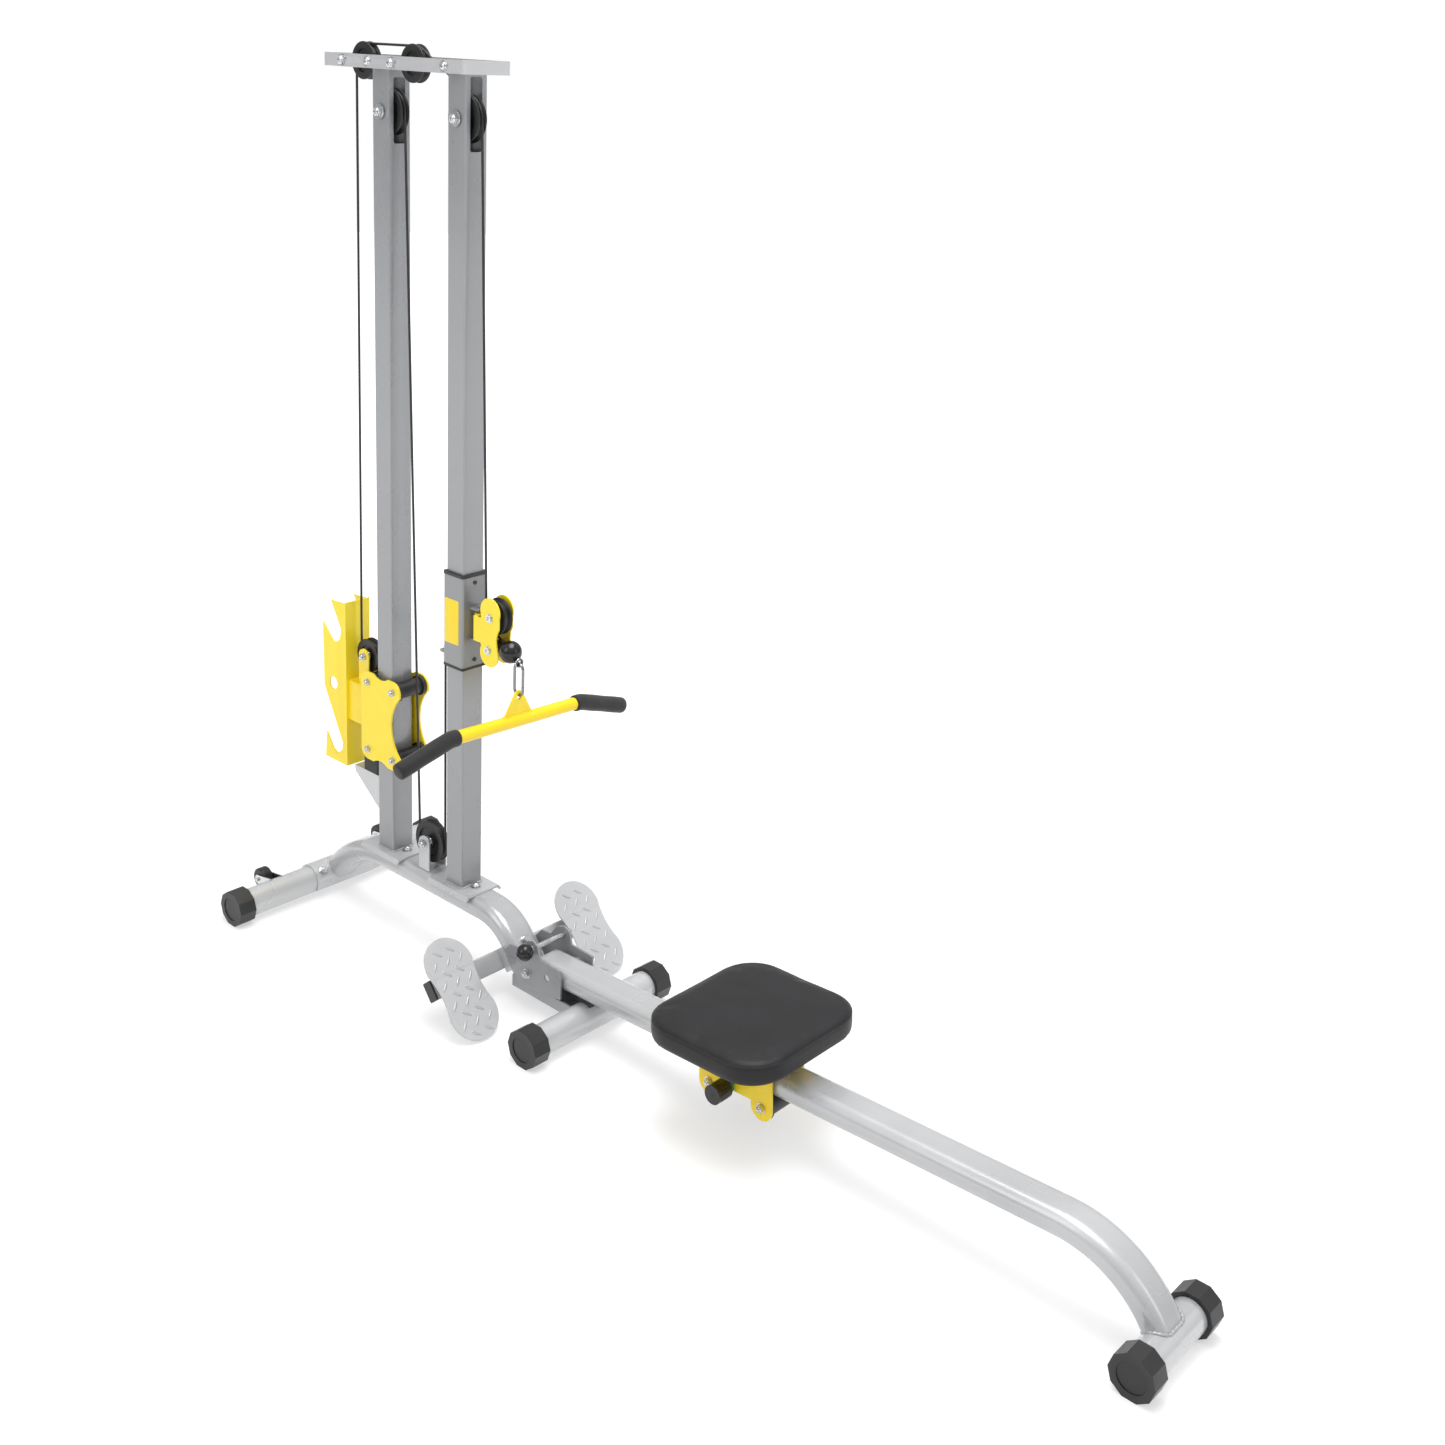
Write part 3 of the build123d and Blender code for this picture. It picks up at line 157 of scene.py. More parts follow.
def worn_edges(tree, colour, worn, amount):
    """Lightens the sharpest edges a little."""
    geometry = add_node(tree, "ShaderNodeNewGeometry")
    edge = spread(tree, geometry.outputs["Pointiness"], 0.0, amount, 0.54, 0.62)
    mix = add_node(tree, "ShaderNodeMix", data_type="RGBA")
    mix.inputs["B"].default_value = (*worn, 1)
    tree.links.new(edge, mix.inputs["Factor"])
    tree.links.new(colour, mix.inputs["A"])
    return mix.outputs["Result"]


# ------------------------------------------------------------------ materials


def paint(name, dark, light, metallic, rough, flake=900.0, edge=1.0 * MM, coat=0.35):
    """Sprayed coat: slow colour drift, fine flake, faint orange peel and softened edges."""
    mat, tree, shader = new_material(name, Metallic=metallic, Coat_Weight=coat, Coat_Roughness=0.12)
    coords = object_coords(tree)
    drift = noise_texture(tree, coords, 3.5, 4.0)
    grain = noise_texture(tree, coords, flake, 1.0)
    peel = noise_texture(tree, coords, 260.0, 2.0)
    mixed = add_node(tree, "ShaderNodeMath", operation="MULTIPLY_ADD")
    tree.links.new(grain, mixed.inputs[0])
    mixed.inputs[1].default_value = 0.35
    tree.links.new(spread(tree, drift, 0.15, 0.5), mixed.inputs[2])
    colour = two_tone(tree, mixed.outputs[0], dark, light)
    worn = tuple(min(1.0, c * 1.25 + 0.04) for c in light)
    tree.links.new(worn_edges(tree, colour, worn, 0.35), shader.inputs["Base Color"])
    tree.links.new(spread(tree, drift, rough - 0.05, rough + 0.07), shader.inputs["Roughness"])
    add_bump(tree, shader, peel, 0.06, 0.3 * MM, edge)
    return mat


def moulded(name, tone, rough, grain=1400.0, depth=0.25, edge=1.0 * MM):
    """Injection-moulded or rubber surface with a fine spark texture."""
    mat, tree, shader = new_material(name, Specular_IOR_Level=0.45)
    coords = object_coords(tree)
    drift = noise_texture(tree, coords, 14.0, 4.0)
    fine = noise_texture(tree, coords, grain, 2.0)
    dark = tuple(c * 0.7 for c in tone)
    light = tuple(c * 1.5 for c in tone)
    colour = two_tone(tree, drift, dark, light)
    worn = tuple(c * 3.0 + 0.01 for c in tone)
    tree.links.new(worn_edges(tree, colour, worn, 0.4), shader.inputs["Base Color"])
    tree.links.new(spread(tree, drift, rough - 0.06, rough + 0.1), shader.inputs["Roughness"])
    add_bump(tree, shader, fine, depth, 0.12 * MM, edge)
    return mat


def plated(name, tone, rough):
    """Bright zinc or chrome with faint turning marks and smudges."""
    mat, tree, shader = new_material(name, Metallic=1.0)
    smudge = noise_texture(tree, object_coords(tree), 60.0, 5.0)
    marks = noise_texture(tree, object_coords(tree, (300, 2500, 300)), 1.0, 2.0)
    tree.links.new(two_tone(tree, smudge, tuple(c * 0.88 for c in tone), tone), shader.inputs["Base Color"])
    tree.links.new(spread(tree, smudge, rough * 0.7, rough * 1.6), shader.inputs["Roughness"])
    add_bump(tree, shader, marks, 0.12, 0.05 * MM, 0.4 * MM)
    return mat


def vinyl(name):
    """Black upholstery: pebbled grain, soft creases and a dull sheen."""
    mat, tree, shader = new_material(name, Sheen_Weight=0.04, Sheen_Roughness=0.5, Specular_IOR_Level=0.3)
    coords = object_coords(tree)
    pebble = add_node(tree, "ShaderNodeTexVoronoi", Scale=620.0, feature="SMOOTH_F1")
    tree.links.new(coords, pebble.inputs["Vector"])
    drift = noise_texture(tree, coords, 9.0, 4.0)
    crease = noise_texture(tree, object_coords(tree, (3, 14, 3)), 1.6, 3.0)
    tone = two_tone(tree, drift, (0.007, 0.007, 0.008), (0.013, 0.013, 0.015))
    tree.links.new(tone, shader.inputs["Base Color"])
    tree.links.new(spread(tree, drift, 0.42, 0.56), shader.inputs["Roughness"])
    soft = add_node(tree, "ShaderNodeBump", Strength=0.35, Distance=3.0 * MM)
    tree.links.new(crease, soft.inputs["Height"])
    fine = add_node(tree, "ShaderNodeBump", Strength=0.3, Distance=0.15 * MM)
    tree.links.new(pebble.outputs["Distance"], fine.inputs["Height"])
    tree.links.new(soft.outputs["Normal"], fine.inputs["Normal"])
    tree.links.new(fine.outputs["Normal"], shader.inputs["Normal"])
    return mat


def foam(name):
    """Closed-cell grip foam: matte, with small pores."""
    mat, tree, shader = new_material(name, Specular_IOR_Level=0.3, Sheen_Weight=0.2)
    coords = object_coords(tree)
    pores = add_node(tree, "ShaderNodeTexVoronoi", Scale=900.0)
    tree.links.new(coords, pores.inputs["Vector"])
    drift = noise_texture(tree, coords, 30.0, 4.0)
    tone = two_tone(tree, drift, (0.009, 0.009, 0.009), (0.020, 0.020, 0.020))
    tree.links.new(tone, shader.inputs["Base Color"])
    tree.links.new(spread(tree, drift, 0.62, 0.82), shader.inputs["Roughness"])
    add_bump(tree, shader, pores.outputs["Distance"], 0.5, 0.3 * MM)
    return mat


def jacket(name):
    """Coated wire rope: the strands show faintly as a slanting ripple."""
    mat, tree, shader = new_material(name, Specular_IOR_Level=0.5)
    wave = add_node(tree, "ShaderNodeTexWave", Scale=120.0, Distortion=0.6, bands_direction="DIAGONAL")
    tree.links.new(object_coords(tree), wave.inputs["Vector"])
    drift = noise_texture(tree, object_coords(tree), 40.0)
    tone = two_tone(tree, drift, (0.008, 0.008, 0.008), (0.022, 0.022, 0.022))
    tree.links.new(tone, shader.inputs["Base Color"])
    tree.links.new(spread(tree, drift, 0.3, 0.45), shader.inputs["Roughness"])
    add_bump(tree, shader, wave.outputs["Fac"], 0.5, 0.35 * MM)
    return mat


# One silver frame paint in two copies: the lighter silver_paint carries painted light for the upward-facing tubes,
# and the darker copy below is painted shade for the upright faces of the masts.
SILVER = paint("silver_paint", (0.40, 0.405, 0.415), (0.50, 0.505, 0.515), 0.3, 0.26)
SHADED_SILVER = paint("silver_painted_shade", (0.205, 0.21, 0.22), (0.265, 0.27, 0.28), 0.25, 0.28)
BRACKET = paint("bracket_paint", (0.21, 0.215, 0.225), (0.27, 0.275, 0.285), 0.3, 0.28)
SLEEVE = paint("sleeve_paint", (0.17, 0.175, 0.18), (0.225, 0.23, 0.235), 0.25, 0.32)
TREAD = paint("tread_paint", (0.41, 0.415, 0.425), (0.51, 0.515, 0.525), 0.3, 0.30)
YELLOW = paint("yellow_paint", (0.82, 0.585, 0.001), (0.88, 0.65, 0.002), 0.0, 0.38, coat=0.15)
WELD = paint("painted_weld", (0.33, 0.335, 0.345), (0.44, 0.445, 0.455), 0.3, 0.32, flake=400.0)
PLASTIC = moulded("black_plastic", (0.008, 0.008, 0.0085), 0.34)
NYLON = moulded("pulley_nylon", (0.009, 0.009, 0.009), 0.38)
RUBBER = moulded("stop_rubber", (0.015, 0.015, 0.015), 0.62, grain=700.0, depth=0.4)
GLOSS = moulded("ball_plastic", (0.008, 0.008, 0.008), 0.12, grain=200.0, depth=0.02, edge=0.0)
TEAL = moulded("thread_patch", (0.01, 0.30, 0.29), 0.45)
ZINC = plated("bright_zinc", (0.66, 0.67, 0.68), 0.17)
STEEL = plated("pin_steel", (0.58, 0.58, 0.585), 0.24)
HOOK = plated("hook_chrome", (0.27, 0.275, 0.285), 0.14)
JACKET = jacket("cable_jacket")
FOAM = foam("grip_foam")
VINYL = vinyl("seat_vinyl")

BY_SLOT = {
    "frame_paint": SILVER, "yellow_paint": YELLOW, "tread_plate": TREAD, "cap_plastic": PLASTIC,
    "stop_rubber": RUBBER, "fasteners": ZINC, "cable_jacket": JACKET, "pulley_nylon": NYLON,
    "ball_plastic": GLOSS, "pin_steel": STEEL, "grip_foam": FOAM, "seat_vinyl": VINYL,
}
# The masts take the darker copy of the silver paint, as painted shade on their upright faces.
BY_NODE = {"sleeve": SLEEVE, "pivot_bracket": BRACKET, "carabiner": HOOK, "carabiner_gate": HOOK,
           "rear_mast": SHADED_SILVER, "front_mast": SHADED_SILVER}


def dress(obj, material):
    obj.data.materials.clear()
    obj.data.materials.append(material)


for entry in frame["record"]["subparts"]:
    dress(NODES[entry["node"]], BY_NODE.get(entry["node"], BY_SLOT[entry["material_slot"]]))

# ------------------------------------------------------------------ mesh helpers


def frame_of(direction):
    """Rotation whose Z axis is the direction."""
    return Vector(direction).normalized().to_track_quat("Z", "Y").to_matrix().to_4x4()


def lathe(bm, profile, at, direction, steps=32):
    """Turns (radius, height) points about a line and adds the skin to a mesh."""
    place = Matrix.Translation(at) @ frame_of(direction)
    rings = []
    for radius, height in profile:
        if radius < 1e-7:
            rings.append([bm.verts.new(place @ Vector((0, 0, height)))])
            continue
        ring = [bm.verts.new(place @ Vector((radius * cos(2 * pi * k / steps), radius * sin(2 * pi * k / steps),
                                             height))) for k in range(steps)]
        rings.append(ring)
    for low, high in zip(rings, rings[1:]):
        for k in range(steps):
            quad = [low[k % len(low)], low[(k + 1) % len(low)], high[(k + 1) % len(high)], high[k % len(high)]]
            face = [v for i, v in enumerate(quad) if v not in quad[:i]]
            if len(face) > 2:
                bm.faces.new(face)


def sweep(bm, points, radii, steps=16, across=(0, 1, 0), capped=True):
    """Round skin along a list of points, with a radius at each."""
    rings = []
    for i, point in enumerate(points):
        ahead = points[min(i + 1, len(points) - 1)] - points[max(i - 1, 0)]
        side = Vector(across) - ahead * (Vector(across).dot(ahead) / ahead.length_squared)
        side.normalize()
        other = ahead.normalized().cross(side)
        rings.append([bm.verts.new(point + radii[i] * (cos(2 * pi * k / steps) * side +
                                                       sin(2 * pi * k / steps) * other)) for k in range(steps)])
    for low, high in zip(rings, rings[1:]):
        for k in range(steps):
            bm.faces.new((low[k], low[(k + 1) % steps], high[(k + 1) % steps], high[k]))
    if capped:
        bm.faces.new(rings[0][::-1])
        bm.faces.new(rings[-1])


def closed_sweep(bm, points, radii, steps=8):
    """Round skin along a closed loop of points."""
    count = len(points)
    middle = sum(points, Vector()) / count
    rings = []
    for i, point in enumerate(points):
        ahead = (points[(i + 1) % count] - points[i - 1]).normalized()
        side = (point - middle)
        side = (side - ahead * side.dot(ahead)).normalized()
        other = ahead.cross(side)
        rings.append([bm.verts.new(point + radii[i] * (cos(2 * pi * k / steps) * side +
                                                       sin(2 * pi * k / steps) * other)) for k in range(steps)])
    for i in range(count):
        low, high = rings[i], rings[(i + 1) % count]
        for k in range(steps):
            bm.faces.new((low[k], low[(k + 1) % steps], high[(k + 1) % steps], high[k]))


def piece(name, bm, body, material, smooth_angle=35):
    """Makes an object of a mesh and hangs it on a CAD body."""
    bmesh.ops.recalc_face_normals(bm, faces=bm.faces)
    mesh = bpy.data.meshes.new(name)
    bm.to_mesh(mesh)
    bm.free()
    obj = bpy.data.objects.new(name, mesh)
    bpy.context.collection.objects.link(obj)
    for polygon in mesh.polygons:
        polygon.use_smooth = True
    mesh.set_sharp_from_angle(angle=radians(smooth_angle))
    mesh.materials.append(material)
    if body:
        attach(obj, body)
    return obj


def rounded_loop(width, depth, radius, steps=6):
    """Points of a rounded rectangle about the origin, in the XY plane."""
    loop = []
    for cx, cy, start in ((1, 1, 0), (-1, 1, 90), (-1, -1, 180), (1, -1, 270)):
        for k in range(steps + 1):
            turn = radians(start + 90 * k / steps)
            loop.append(Vector((cx * (width / 2 - radius) + radius * cos(turn),
                                cy * (depth / 2 - radius) + radius * sin(turn), 0)))
    return loop


def densify(loop, step):
    """Adds points to a closed loop so that none are further apart than step."""
    out = []
    for a, b in zip(loop, loop[1:] + loop[:1]):
        parts = max(1, int((b - a).length / step))
        out.extend(a.lerp(b, k / parts) for k in range(parts))
    return out


# ------------------------------------------------------------------ fasteners


def button_head(bm, at, direction, radius, washer=1.35):
    """Washer, domed head and a hexagon socket."""
    rim = radius * washer
    lathe(bm, [(0, 0), (rim, 0), (rim, 1.2 * MM), (rim - 0.4 * MM, 1.6 * MM), (radius, 1.6 * MM)],
          at, direction)
    rise = radius * 0.55
    dome = [(radius, 1.6 * MM)]
    dome += [(radius * cos(a), 1.6 * MM + rise * sin(a)) for a in (radians(d) for d in (20, 40, 55, 66))]
    top = dome[-1][1]
    dome.append((radius * 0.40, top + 0.1 * MM))
    lathe(bm, dome, at, direction)
    lathe(bm, [(radius * 0.40, top + 0.1 * MM), (radius * 0.36, top - rise * 0.6), (0, top - rise * 0.6)],
          at, direction, steps=6)


def lock_nut(bm, at, direction, radius, washer=1.3):
    """Washer, chamfered hexagon and the domed ring of a lock nut, with the bolt end inside."""
    rim = radius * washer
    lathe(bm, [(0, 0), (rim, 0), (rim, 1.3 * MM), (radius * 0.9, 1.5 * MM)], at, direction)
    height = radius * 0.85
    lathe(bm, [(radius * 0.9, 1.4 * MM), (radius * 1.08, 2.2 * MM), (radius * 1.08, height),
               (radius * 0.88, height + 1.0 * MM)], at, direction, steps=6)
    lathe(bm, [(radius * 0.86, height + 0.8 * MM), (radius * 0.80, height + 2.6 * MM),
               (radius * 0.62, height + 3.4 * MM), (radius * 0.52, height + 3.0 * MM),
               (radius * 0.50, height + 1.6 * MM)], at, direction)
    lathe(bm, [(radius * 0.48, height + 1.2 * MM), (radius * 0.48, height + 3.6 * MM),
               (radius * 0.38, height + 4.4 * MM), (0, height + 4.4 * MM)], at, direction)


def frame_fasteners():
    bm = bmesh.new()
    head_half = corners("head_frame")[1].y
    for side in (-1, 1):
        face = head_half * side
        for name in ("pulley_head_rear_spin", "pulley_head_mid_spin"):
            at = joint_at(name)
            lock_nut(bm, Vector((at.x, face, at.z)), (0, side, 0), 8.6 * MM)
        for mast in ("rear_mast", "front_mast"):
            at = centre(mast)
            button_head(bm, Vector((at.x, face, joint_at("pulley_head_rear_spin").z)), (0, side, 0), 8.0 * MM)
            wall = corners(mast)[1].y * side + 2.5 * MM * side
            pivot = joint_at("pulley_rear_mast_spin")
            lock_nut(bm, Vector((at.x, wall, pivot.z)), (0, side, 0), 8.8 * MM, washer=1.65)
        low = joint_at("pulley_low_spin")
        lock_nut(bm, Vector((low.x, side * 23 * MM, low.z)), (0, side, 0), 8.6 * MM)
        lock_nut(bm, Vector((CROSS_BOLT_X, side * CROSS_BOLT_Y, CROSS_BOLT_Z)), (0, side, 0), 7.8 * MM)
    for mast in ("rear_mast", "front_mast"):
        at = centre(mast)
        for side in (-1, 1):
            lock_nut(bm, Vector((at.x + side * SADDLE_BOLT_X, 0, SADDLE_BOLT_Z)), (0, 0, 1), 7.6 * MM)
    rear = centre("rear_stabiliser")
    for side in (-1, 1):
        out = Vector((sin(radians(45)), 0, cos(radians(45))))
        lock_nut(bm, rear + Vector((0, side * REAR_BOLT_Y, 0)) + out * REAR_BOLT_OUT, out, 7.4 * MM)
    return piece("frame_fasteners", bm, "frame", ZINC)


def carriage_fasteners():
    bm = bmesh.new()
    half = corners("carriage_frame")[1].y
    for k in range(1, 5):
        at = joint_at("roller_%d_spin" % k)
        for side in (-1, 1):
            lock_nut(bm, Vector((at.x, half * side, at.z)), (0, side, 0), 6.4 * MM)
    at = joint_at("pulley_carriage_spin")
    for side in (-1, 1):
        lock_nut(bm, Vector((at.x, 19 * MM * side, at.z)), (0, side, 0), 7.2 * MM)
    return piece("carriage_fasteners", bm, "carriage", ZINC)


def swivel_fasteners():
    bm = bmesh.new()
    for name, radius in (("pulley_swivel_spin", 7.0), ("roller_swivel_spin", 6.6)):
        at = joint_at(name)
        button_head(bm, Vector((at.x, -19 * MM, at.z)), (0, -1, 0), radius * MM)
        lock_nut(bm, Vector((at.x, 19 * MM, at.z)), (0, 1, 0), radius * MM)
    return piece("swivel_fasteners", bm, "swivel", ZINC)


def seat_fasteners():
    bm = bmesh.new()
    for name in ("low_rear", "low_front", "top_rear", "top_front"):
        at = joint_at("seat_roller_%s_spin" % name)
        for side in (-1, 1):
            lock_nut(bm, Vector((at.x, side * 45 * MM, at.z)), (0, side, 0), 7.0 * MM, washer=1.5)
    return piece("seat_fasteners", bm, "seat", ZINC)


# ------------------------------------------------------------------ welds


def bead(bm, loop, size, seed):
    """Weld bead: a closed roll with the ripple of stacked puddles."""
    points = densify(loop, 1.6 * MM)
    radii = []
    for k, point in enumerate(points):
        wobble = noise.noise(point * 160 + Vector((seed, 0, 0)))
        radii.append(size * (1.0 + 0.16 * sin(k * 2 * pi / 4) + 0.18 * wobble))
    closed_sweep(bm, points, radii)


def mast_welds():
    bm = bmesh.new()
    for seed, mast in enumerate(("rear_mast", "front_mast")):
        low, high = corners(mast)
        ring = rounded_loop(high.x - low.x + 2 * MM, high.y - low.y + 2 * MM, 4 * MM)
        bead(bm, [p + Vector(((low.x + high.x) / 2, 0, low.z + 1 * MM)) for p in ring], 2.2 * MM, seed)
    return piece("mast_welds", bm, "frame", WELD)


def foot_weld():
    """Bead where the flat-oval rail lands on the round foot tube."""
    foot = centre("front_caps")
    fall = radians(2.75 - 67.3)
    along = Vector((cos(fall), 0, sin(fall)))
    up = Vector((-sin(fall), 0, cos(fall)))
    tube = 30.6 * MM
    loop = []
    for p in rounded_loop(73 * MM, 46 * MM, 20.5 * MM, 8):
        offset = p.y
        back = sqrt(max(tube ** 2 - offset ** 2, 0))
        loop.append(Vector((foot.x, 0, foot.z)) + up * offset - along * back + Vector((0, p.x, 0)))
    bm = bmesh.new()
    bead(bm, loop, 2.6 * MM, 5)
    return piece("foot_weld", bm, "rail", WELD)


# ------------------------------------------------------------------ foot plates


def tread_bars(side):
    """Raised lens-shaped bars in two alternating directions over one foot plate."""
    name = "footplate_left" if side < 0 else "footplate_right"
    middle = centre(name)
    down = Vector((cos(LEAN), 0, -sin(LEAN)))
    out = Vector((sin(LEAN), 0, cos(LEAN)))
    surface = middle + out * 1.5 * MM
    lobe = 54 * MM
    reach = 52 * MM
    bm = bmesh.new()
    row = 0
    a = -100 * MM
    while a < 100 * MM:
        for k in range(-2, 3):
            b = (k + 0.5 * (row % 2)) * 31 * MM
            near = min(hypot(a - c, b) for c in (-reach, reach))
            inside = near < lobe - 10 * MM or (abs(a) < reach and abs(b) < 34 * MM)
            if not inside:
                continue
            turn = radians(48 if row % 2 else -42)
            long_way = (down * cos(turn) + Vector((0, 1, 0)) * sin(turn))
            wide = out.cross(long_way)
            origin = surface + down * a + Vector((0, b, 0))
            ring_sets = []
            for level, shrink in ((-0.3 * MM, 1.0), (0.9 * MM, 0.84), (1.6 * MM, 0.5)):
                ring = []
                for step in range(16):
                    t = 2 * pi * step / 16
                    lens = 3.0 * MM * (abs(sin(t)) ** 1.2) * (1 if sin(t) > 0 else -1)
                    ring.append(bm.verts.new(origin + long_way * 12.5 * MM * cos(t) * shrink
                                             + wide * lens * shrink + out * level))
                ring_sets.append(ring)
            for low, high in zip(ring_sets, ring_sets[1:]):
                for step in range(16):
                    bm.faces.new((low[step], low[(step + 1) % 16], high[(step + 1) % 16], high[step]))
            bm.faces.new(ring_sets[-1])
        a += 21 * MM
        row += 1
    return piece("tread_bars_left" if side < 0 else "tread_bars_right", bm, "frame", TREAD, 50)


# ------------------------------------------------------------------ label, knobs and rings


def sleeve_label():
    """Plain yellow sticker without any print."""
    width, height = 42 * MM, 92 * MM
    wall = -31.0 * MM
    middle = Vector((centre("front_mast").x - 3.5 * MM, wall, LABEL_Z))
    loop = rounded_loop(width, height, 2.5 * MM)
    bm = bmesh.new()
    rings = []
    for depth, shrink in ((0.3 * MM, 1.0), (-0.25 * MM, 1.0), (-0.4 * MM, 0.985)):
        rings.append([bm.verts.new(middle + Vector((p.x * shrink, depth, p.y * shrink))) for p in loop])
    for a, b in zip(rings, rings[1:]):
        for k in range(len(loop)):
            bm.faces.new((a[k], a[(k + 1) % len(loop)], b[(k + 1) % len(loop)], b[k]))
    bm.faces.new(rings[-1])
    return piece("sleeve_label", bm, "sleeve", YELLOW)


def ball(bm, at, radius, direction, flat=0.96, steps=40):
    """Sphere turned from a half circle, with a small moulding flat at one end."""
    profile = [(0, -radius)]
    profile += [(radius * sin(radians(d)), -radius * cos(radians(d))) for d in range(6, 166, 6)]
    profile += [(radius * sin(radians(165)), radius * flat), (0, radius * flat)]
    lathe(bm, profile, at, direction, steps)


def lock_pin_ball():
    low, high = corners("lock_pin")
    radius = (high.z - low.z) / 2 + 0.5 * MM
    bm = bmesh.new()
    at = Vector(((low.x + high.x) / 2, low.y + radius - 0.5 * MM, (low.z + high.z) / 2))
    ball(bm, at, radius, (0, -1, 0), 0.985)
    return piece("lock_pin_ball", bm, "lock_pin", GLOSS)


def ball_eye():
    """Steel eye under the stop ball."""
    hook = JOINTS["snap_hook_swing"]["pos_m"]
    low = corners("ball_stop")[0]
    eye = Vector((hook[0], 0, low.z + 9 * MM))
    bm = bmesh.new()
    ring = [eye + Vector((0, 7.2 * MM * cos(2 * pi * k / 40), 7.2 * MM * sin(2 * pi * k / 40)))
            for k in range(40)]
    closed_sweep(bm, ring, [2.55 * MM] * 40, 12)
    return piece("ball_eye", bm, "ball", ZINC)


def knob_cover():
    """Grip of the seat lock: a domed black knob with finger flutes, and the patched thread behind it."""
    at = joint_at("seat_knob_spin")
    low = corners("seat_knob")[0]
    bm = bmesh.new()
    steps = 72
    profile = [(6.0, 0.0), (15.5, 0.0), (18.0, 3.0), (18.6, 8.0), (18.6, 27.0), (17.4, 31.5), (14.0, 34.0),
               (8.0, 34.6), (0.0, 34.7)]
    place = Matrix.Translation(Vector((at.x, low.y + 34.4 * MM, at.z))) @ frame_of((0, -1, 0))
    rings = []
    for radius, height in profile:
        ring = []
        for k in range(steps):
            turn = 2 * pi * k / steps
            flute = 1 - 0.045 * max(0.0, cos(8 * turn)) * (1 if 14 < radius else 0)
            ring.append(bm.verts.new(place @ Vector((radius * MM * flute * cos(turn),
                                                     radius * MM * flute * sin(turn), height * MM))))
        rings.append(ring)
    for a, b in zip(rings, rings[1:]):
        for k in range(steps):
            bm.faces.new((a[k], a[(k + 1) % steps], b[(k + 1) % steps], b[k]))
    piece("seat_knob_grip", bm, "seat_knob", PLASTIC)
    bm = bmesh.new()
    thread = [(5.4, 0)]
    for k in range(6):
        thread += [(13.5, 0.5 + 1.5 * k), (12.9, 1.2 + 1.5 * k)]
    thread.append((5.4, 9.6))
    lathe(bm, [(r * MM, h * MM) for r, h in thread], Vector((at.x, -46 * MM, at.z)), (0, -1, 0))
    piece("knob_thread_patch", bm, "seat_knob", TEAL)


def pulley_bearings():
    """Bright bearing ring set into each face of the pulleys."""
    names = [n for n in NODES if n.startswith("pulley_")]
    for name in sorted(names):
        at = centre(name)
        half = corners(name)[1].y
        bm = bmesh.new()
        for side in (-1, 1):
            lathe(bm, [(8.4 * MM, 0), (8.6 * MM, 0.35 * MM), (10.6 * MM, 0.45 * MM), (11.4 * MM, 0.35 * MM),
                       (11.6 * MM, -0.1 * MM)], Vector((at.x, half * side, at.z)), (0, side, 0))
        piece(name + "_bearing", bm, name, ZINC)


# ------------------------------------------------------------------ cable


def cable_run(name, start, end, bodies, *nodes):
    """Straight stretch of cable between two points; the bodies argument is not used."""
    bm = bmesh.new()
    parts = 12
    points = [start.lerp(end, k / parts) for k in range(parts + 1)]
    sweep(bm, points, [CABLE_R] * (parts + 1), 14)
    obj = piece(name, bm, None, JACKET)
    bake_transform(obj)
    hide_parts(*nodes)


def cable_runs():
    head = joint_at("pulley_head_rear_spin")
    lift = joint_at("pulley_carriage_spin")
    back = joint_at("pulley_rear_mast_spin")
    front = joint_at("pulley_front_mast_spin")
    swivel = joint_at("pulley_swivel_spin")
    low = joint_at("pulley_low_spin")
    small, large = Vector((SMALL_PITCH, 0, 0)), Vector((LARGE_PITCH, 0, 0))
    cable_run("cable_down_to_carriage", head - small, lift - small, ("frame", "carriage"), "cable_lift_runs")
    cable_run("cable_up_from_carriage", back - large, lift + small, ("frame", "carriage"), "cable_lift_runs")
    cable_run("cable_down_to_swivel", front + large, swivel - small, ("frame", "sleeve"), "cable_run_front")
    lug_z = corners("cable_run_back")[1].z
    cable_run("cable_up_to_sleeve", low + large, Vector((low.x + LARGE_PITCH, 0, lug_z)), ("frame", "sleeve"),
              "cable_run_back")
    low_end, high_end = corners("cable_end")
    slope = Vector((PULL.x, 0, PULL.z))
    half = CABLE_R * Vector((abs(PULL.z), 0, abs(PULL.x)))
    start = Vector((low_end.x + half.x, 0, high_end.z - half.z))
    end = Vector((high_end.x - half.x, 0, low_end.z + half.z)) + slope * 2 * MM
    cable_run("cable_to_ball", start, end, ("swivel", "ball"), "cable_end")


def cable_ferrule():
    """Crimped sleeve on the cable end above the lug of the height sleeve."""
    top = corners("cable_run_back")[1]
    x = centre("cable_run_back").x
    bm = bmesh.new()
    lathe(bm, [(2.4 * MM, -26 * MM), (4.4 * MM, -25 * MM), (4.7 * MM, -14 * MM), (4.2 * MM, -8 * MM),
               (4.7 * MM, -2 * MM), (4.2 * MM, 7 * MM), (0, 7.5 * MM)],
          Vector((x, 0, top.z + 6.2 * MM)), (0, 0, 1))
    piece("cable_ferrule", bm, "sleeve", ZINC)


# ------------------------------------------------------------------ bar grips


def bar_hang():
    """The bar leans 2.2 degrees about the hole of its tab."""
    hole = Vector((centre("lat_bar").x, 0, BAR_HOLE_Z))
    return Matrix.Translation(hole) @ Matrix.Rotation(radians(-2.2), 4, "X") @ Matrix.Translation(-hole)


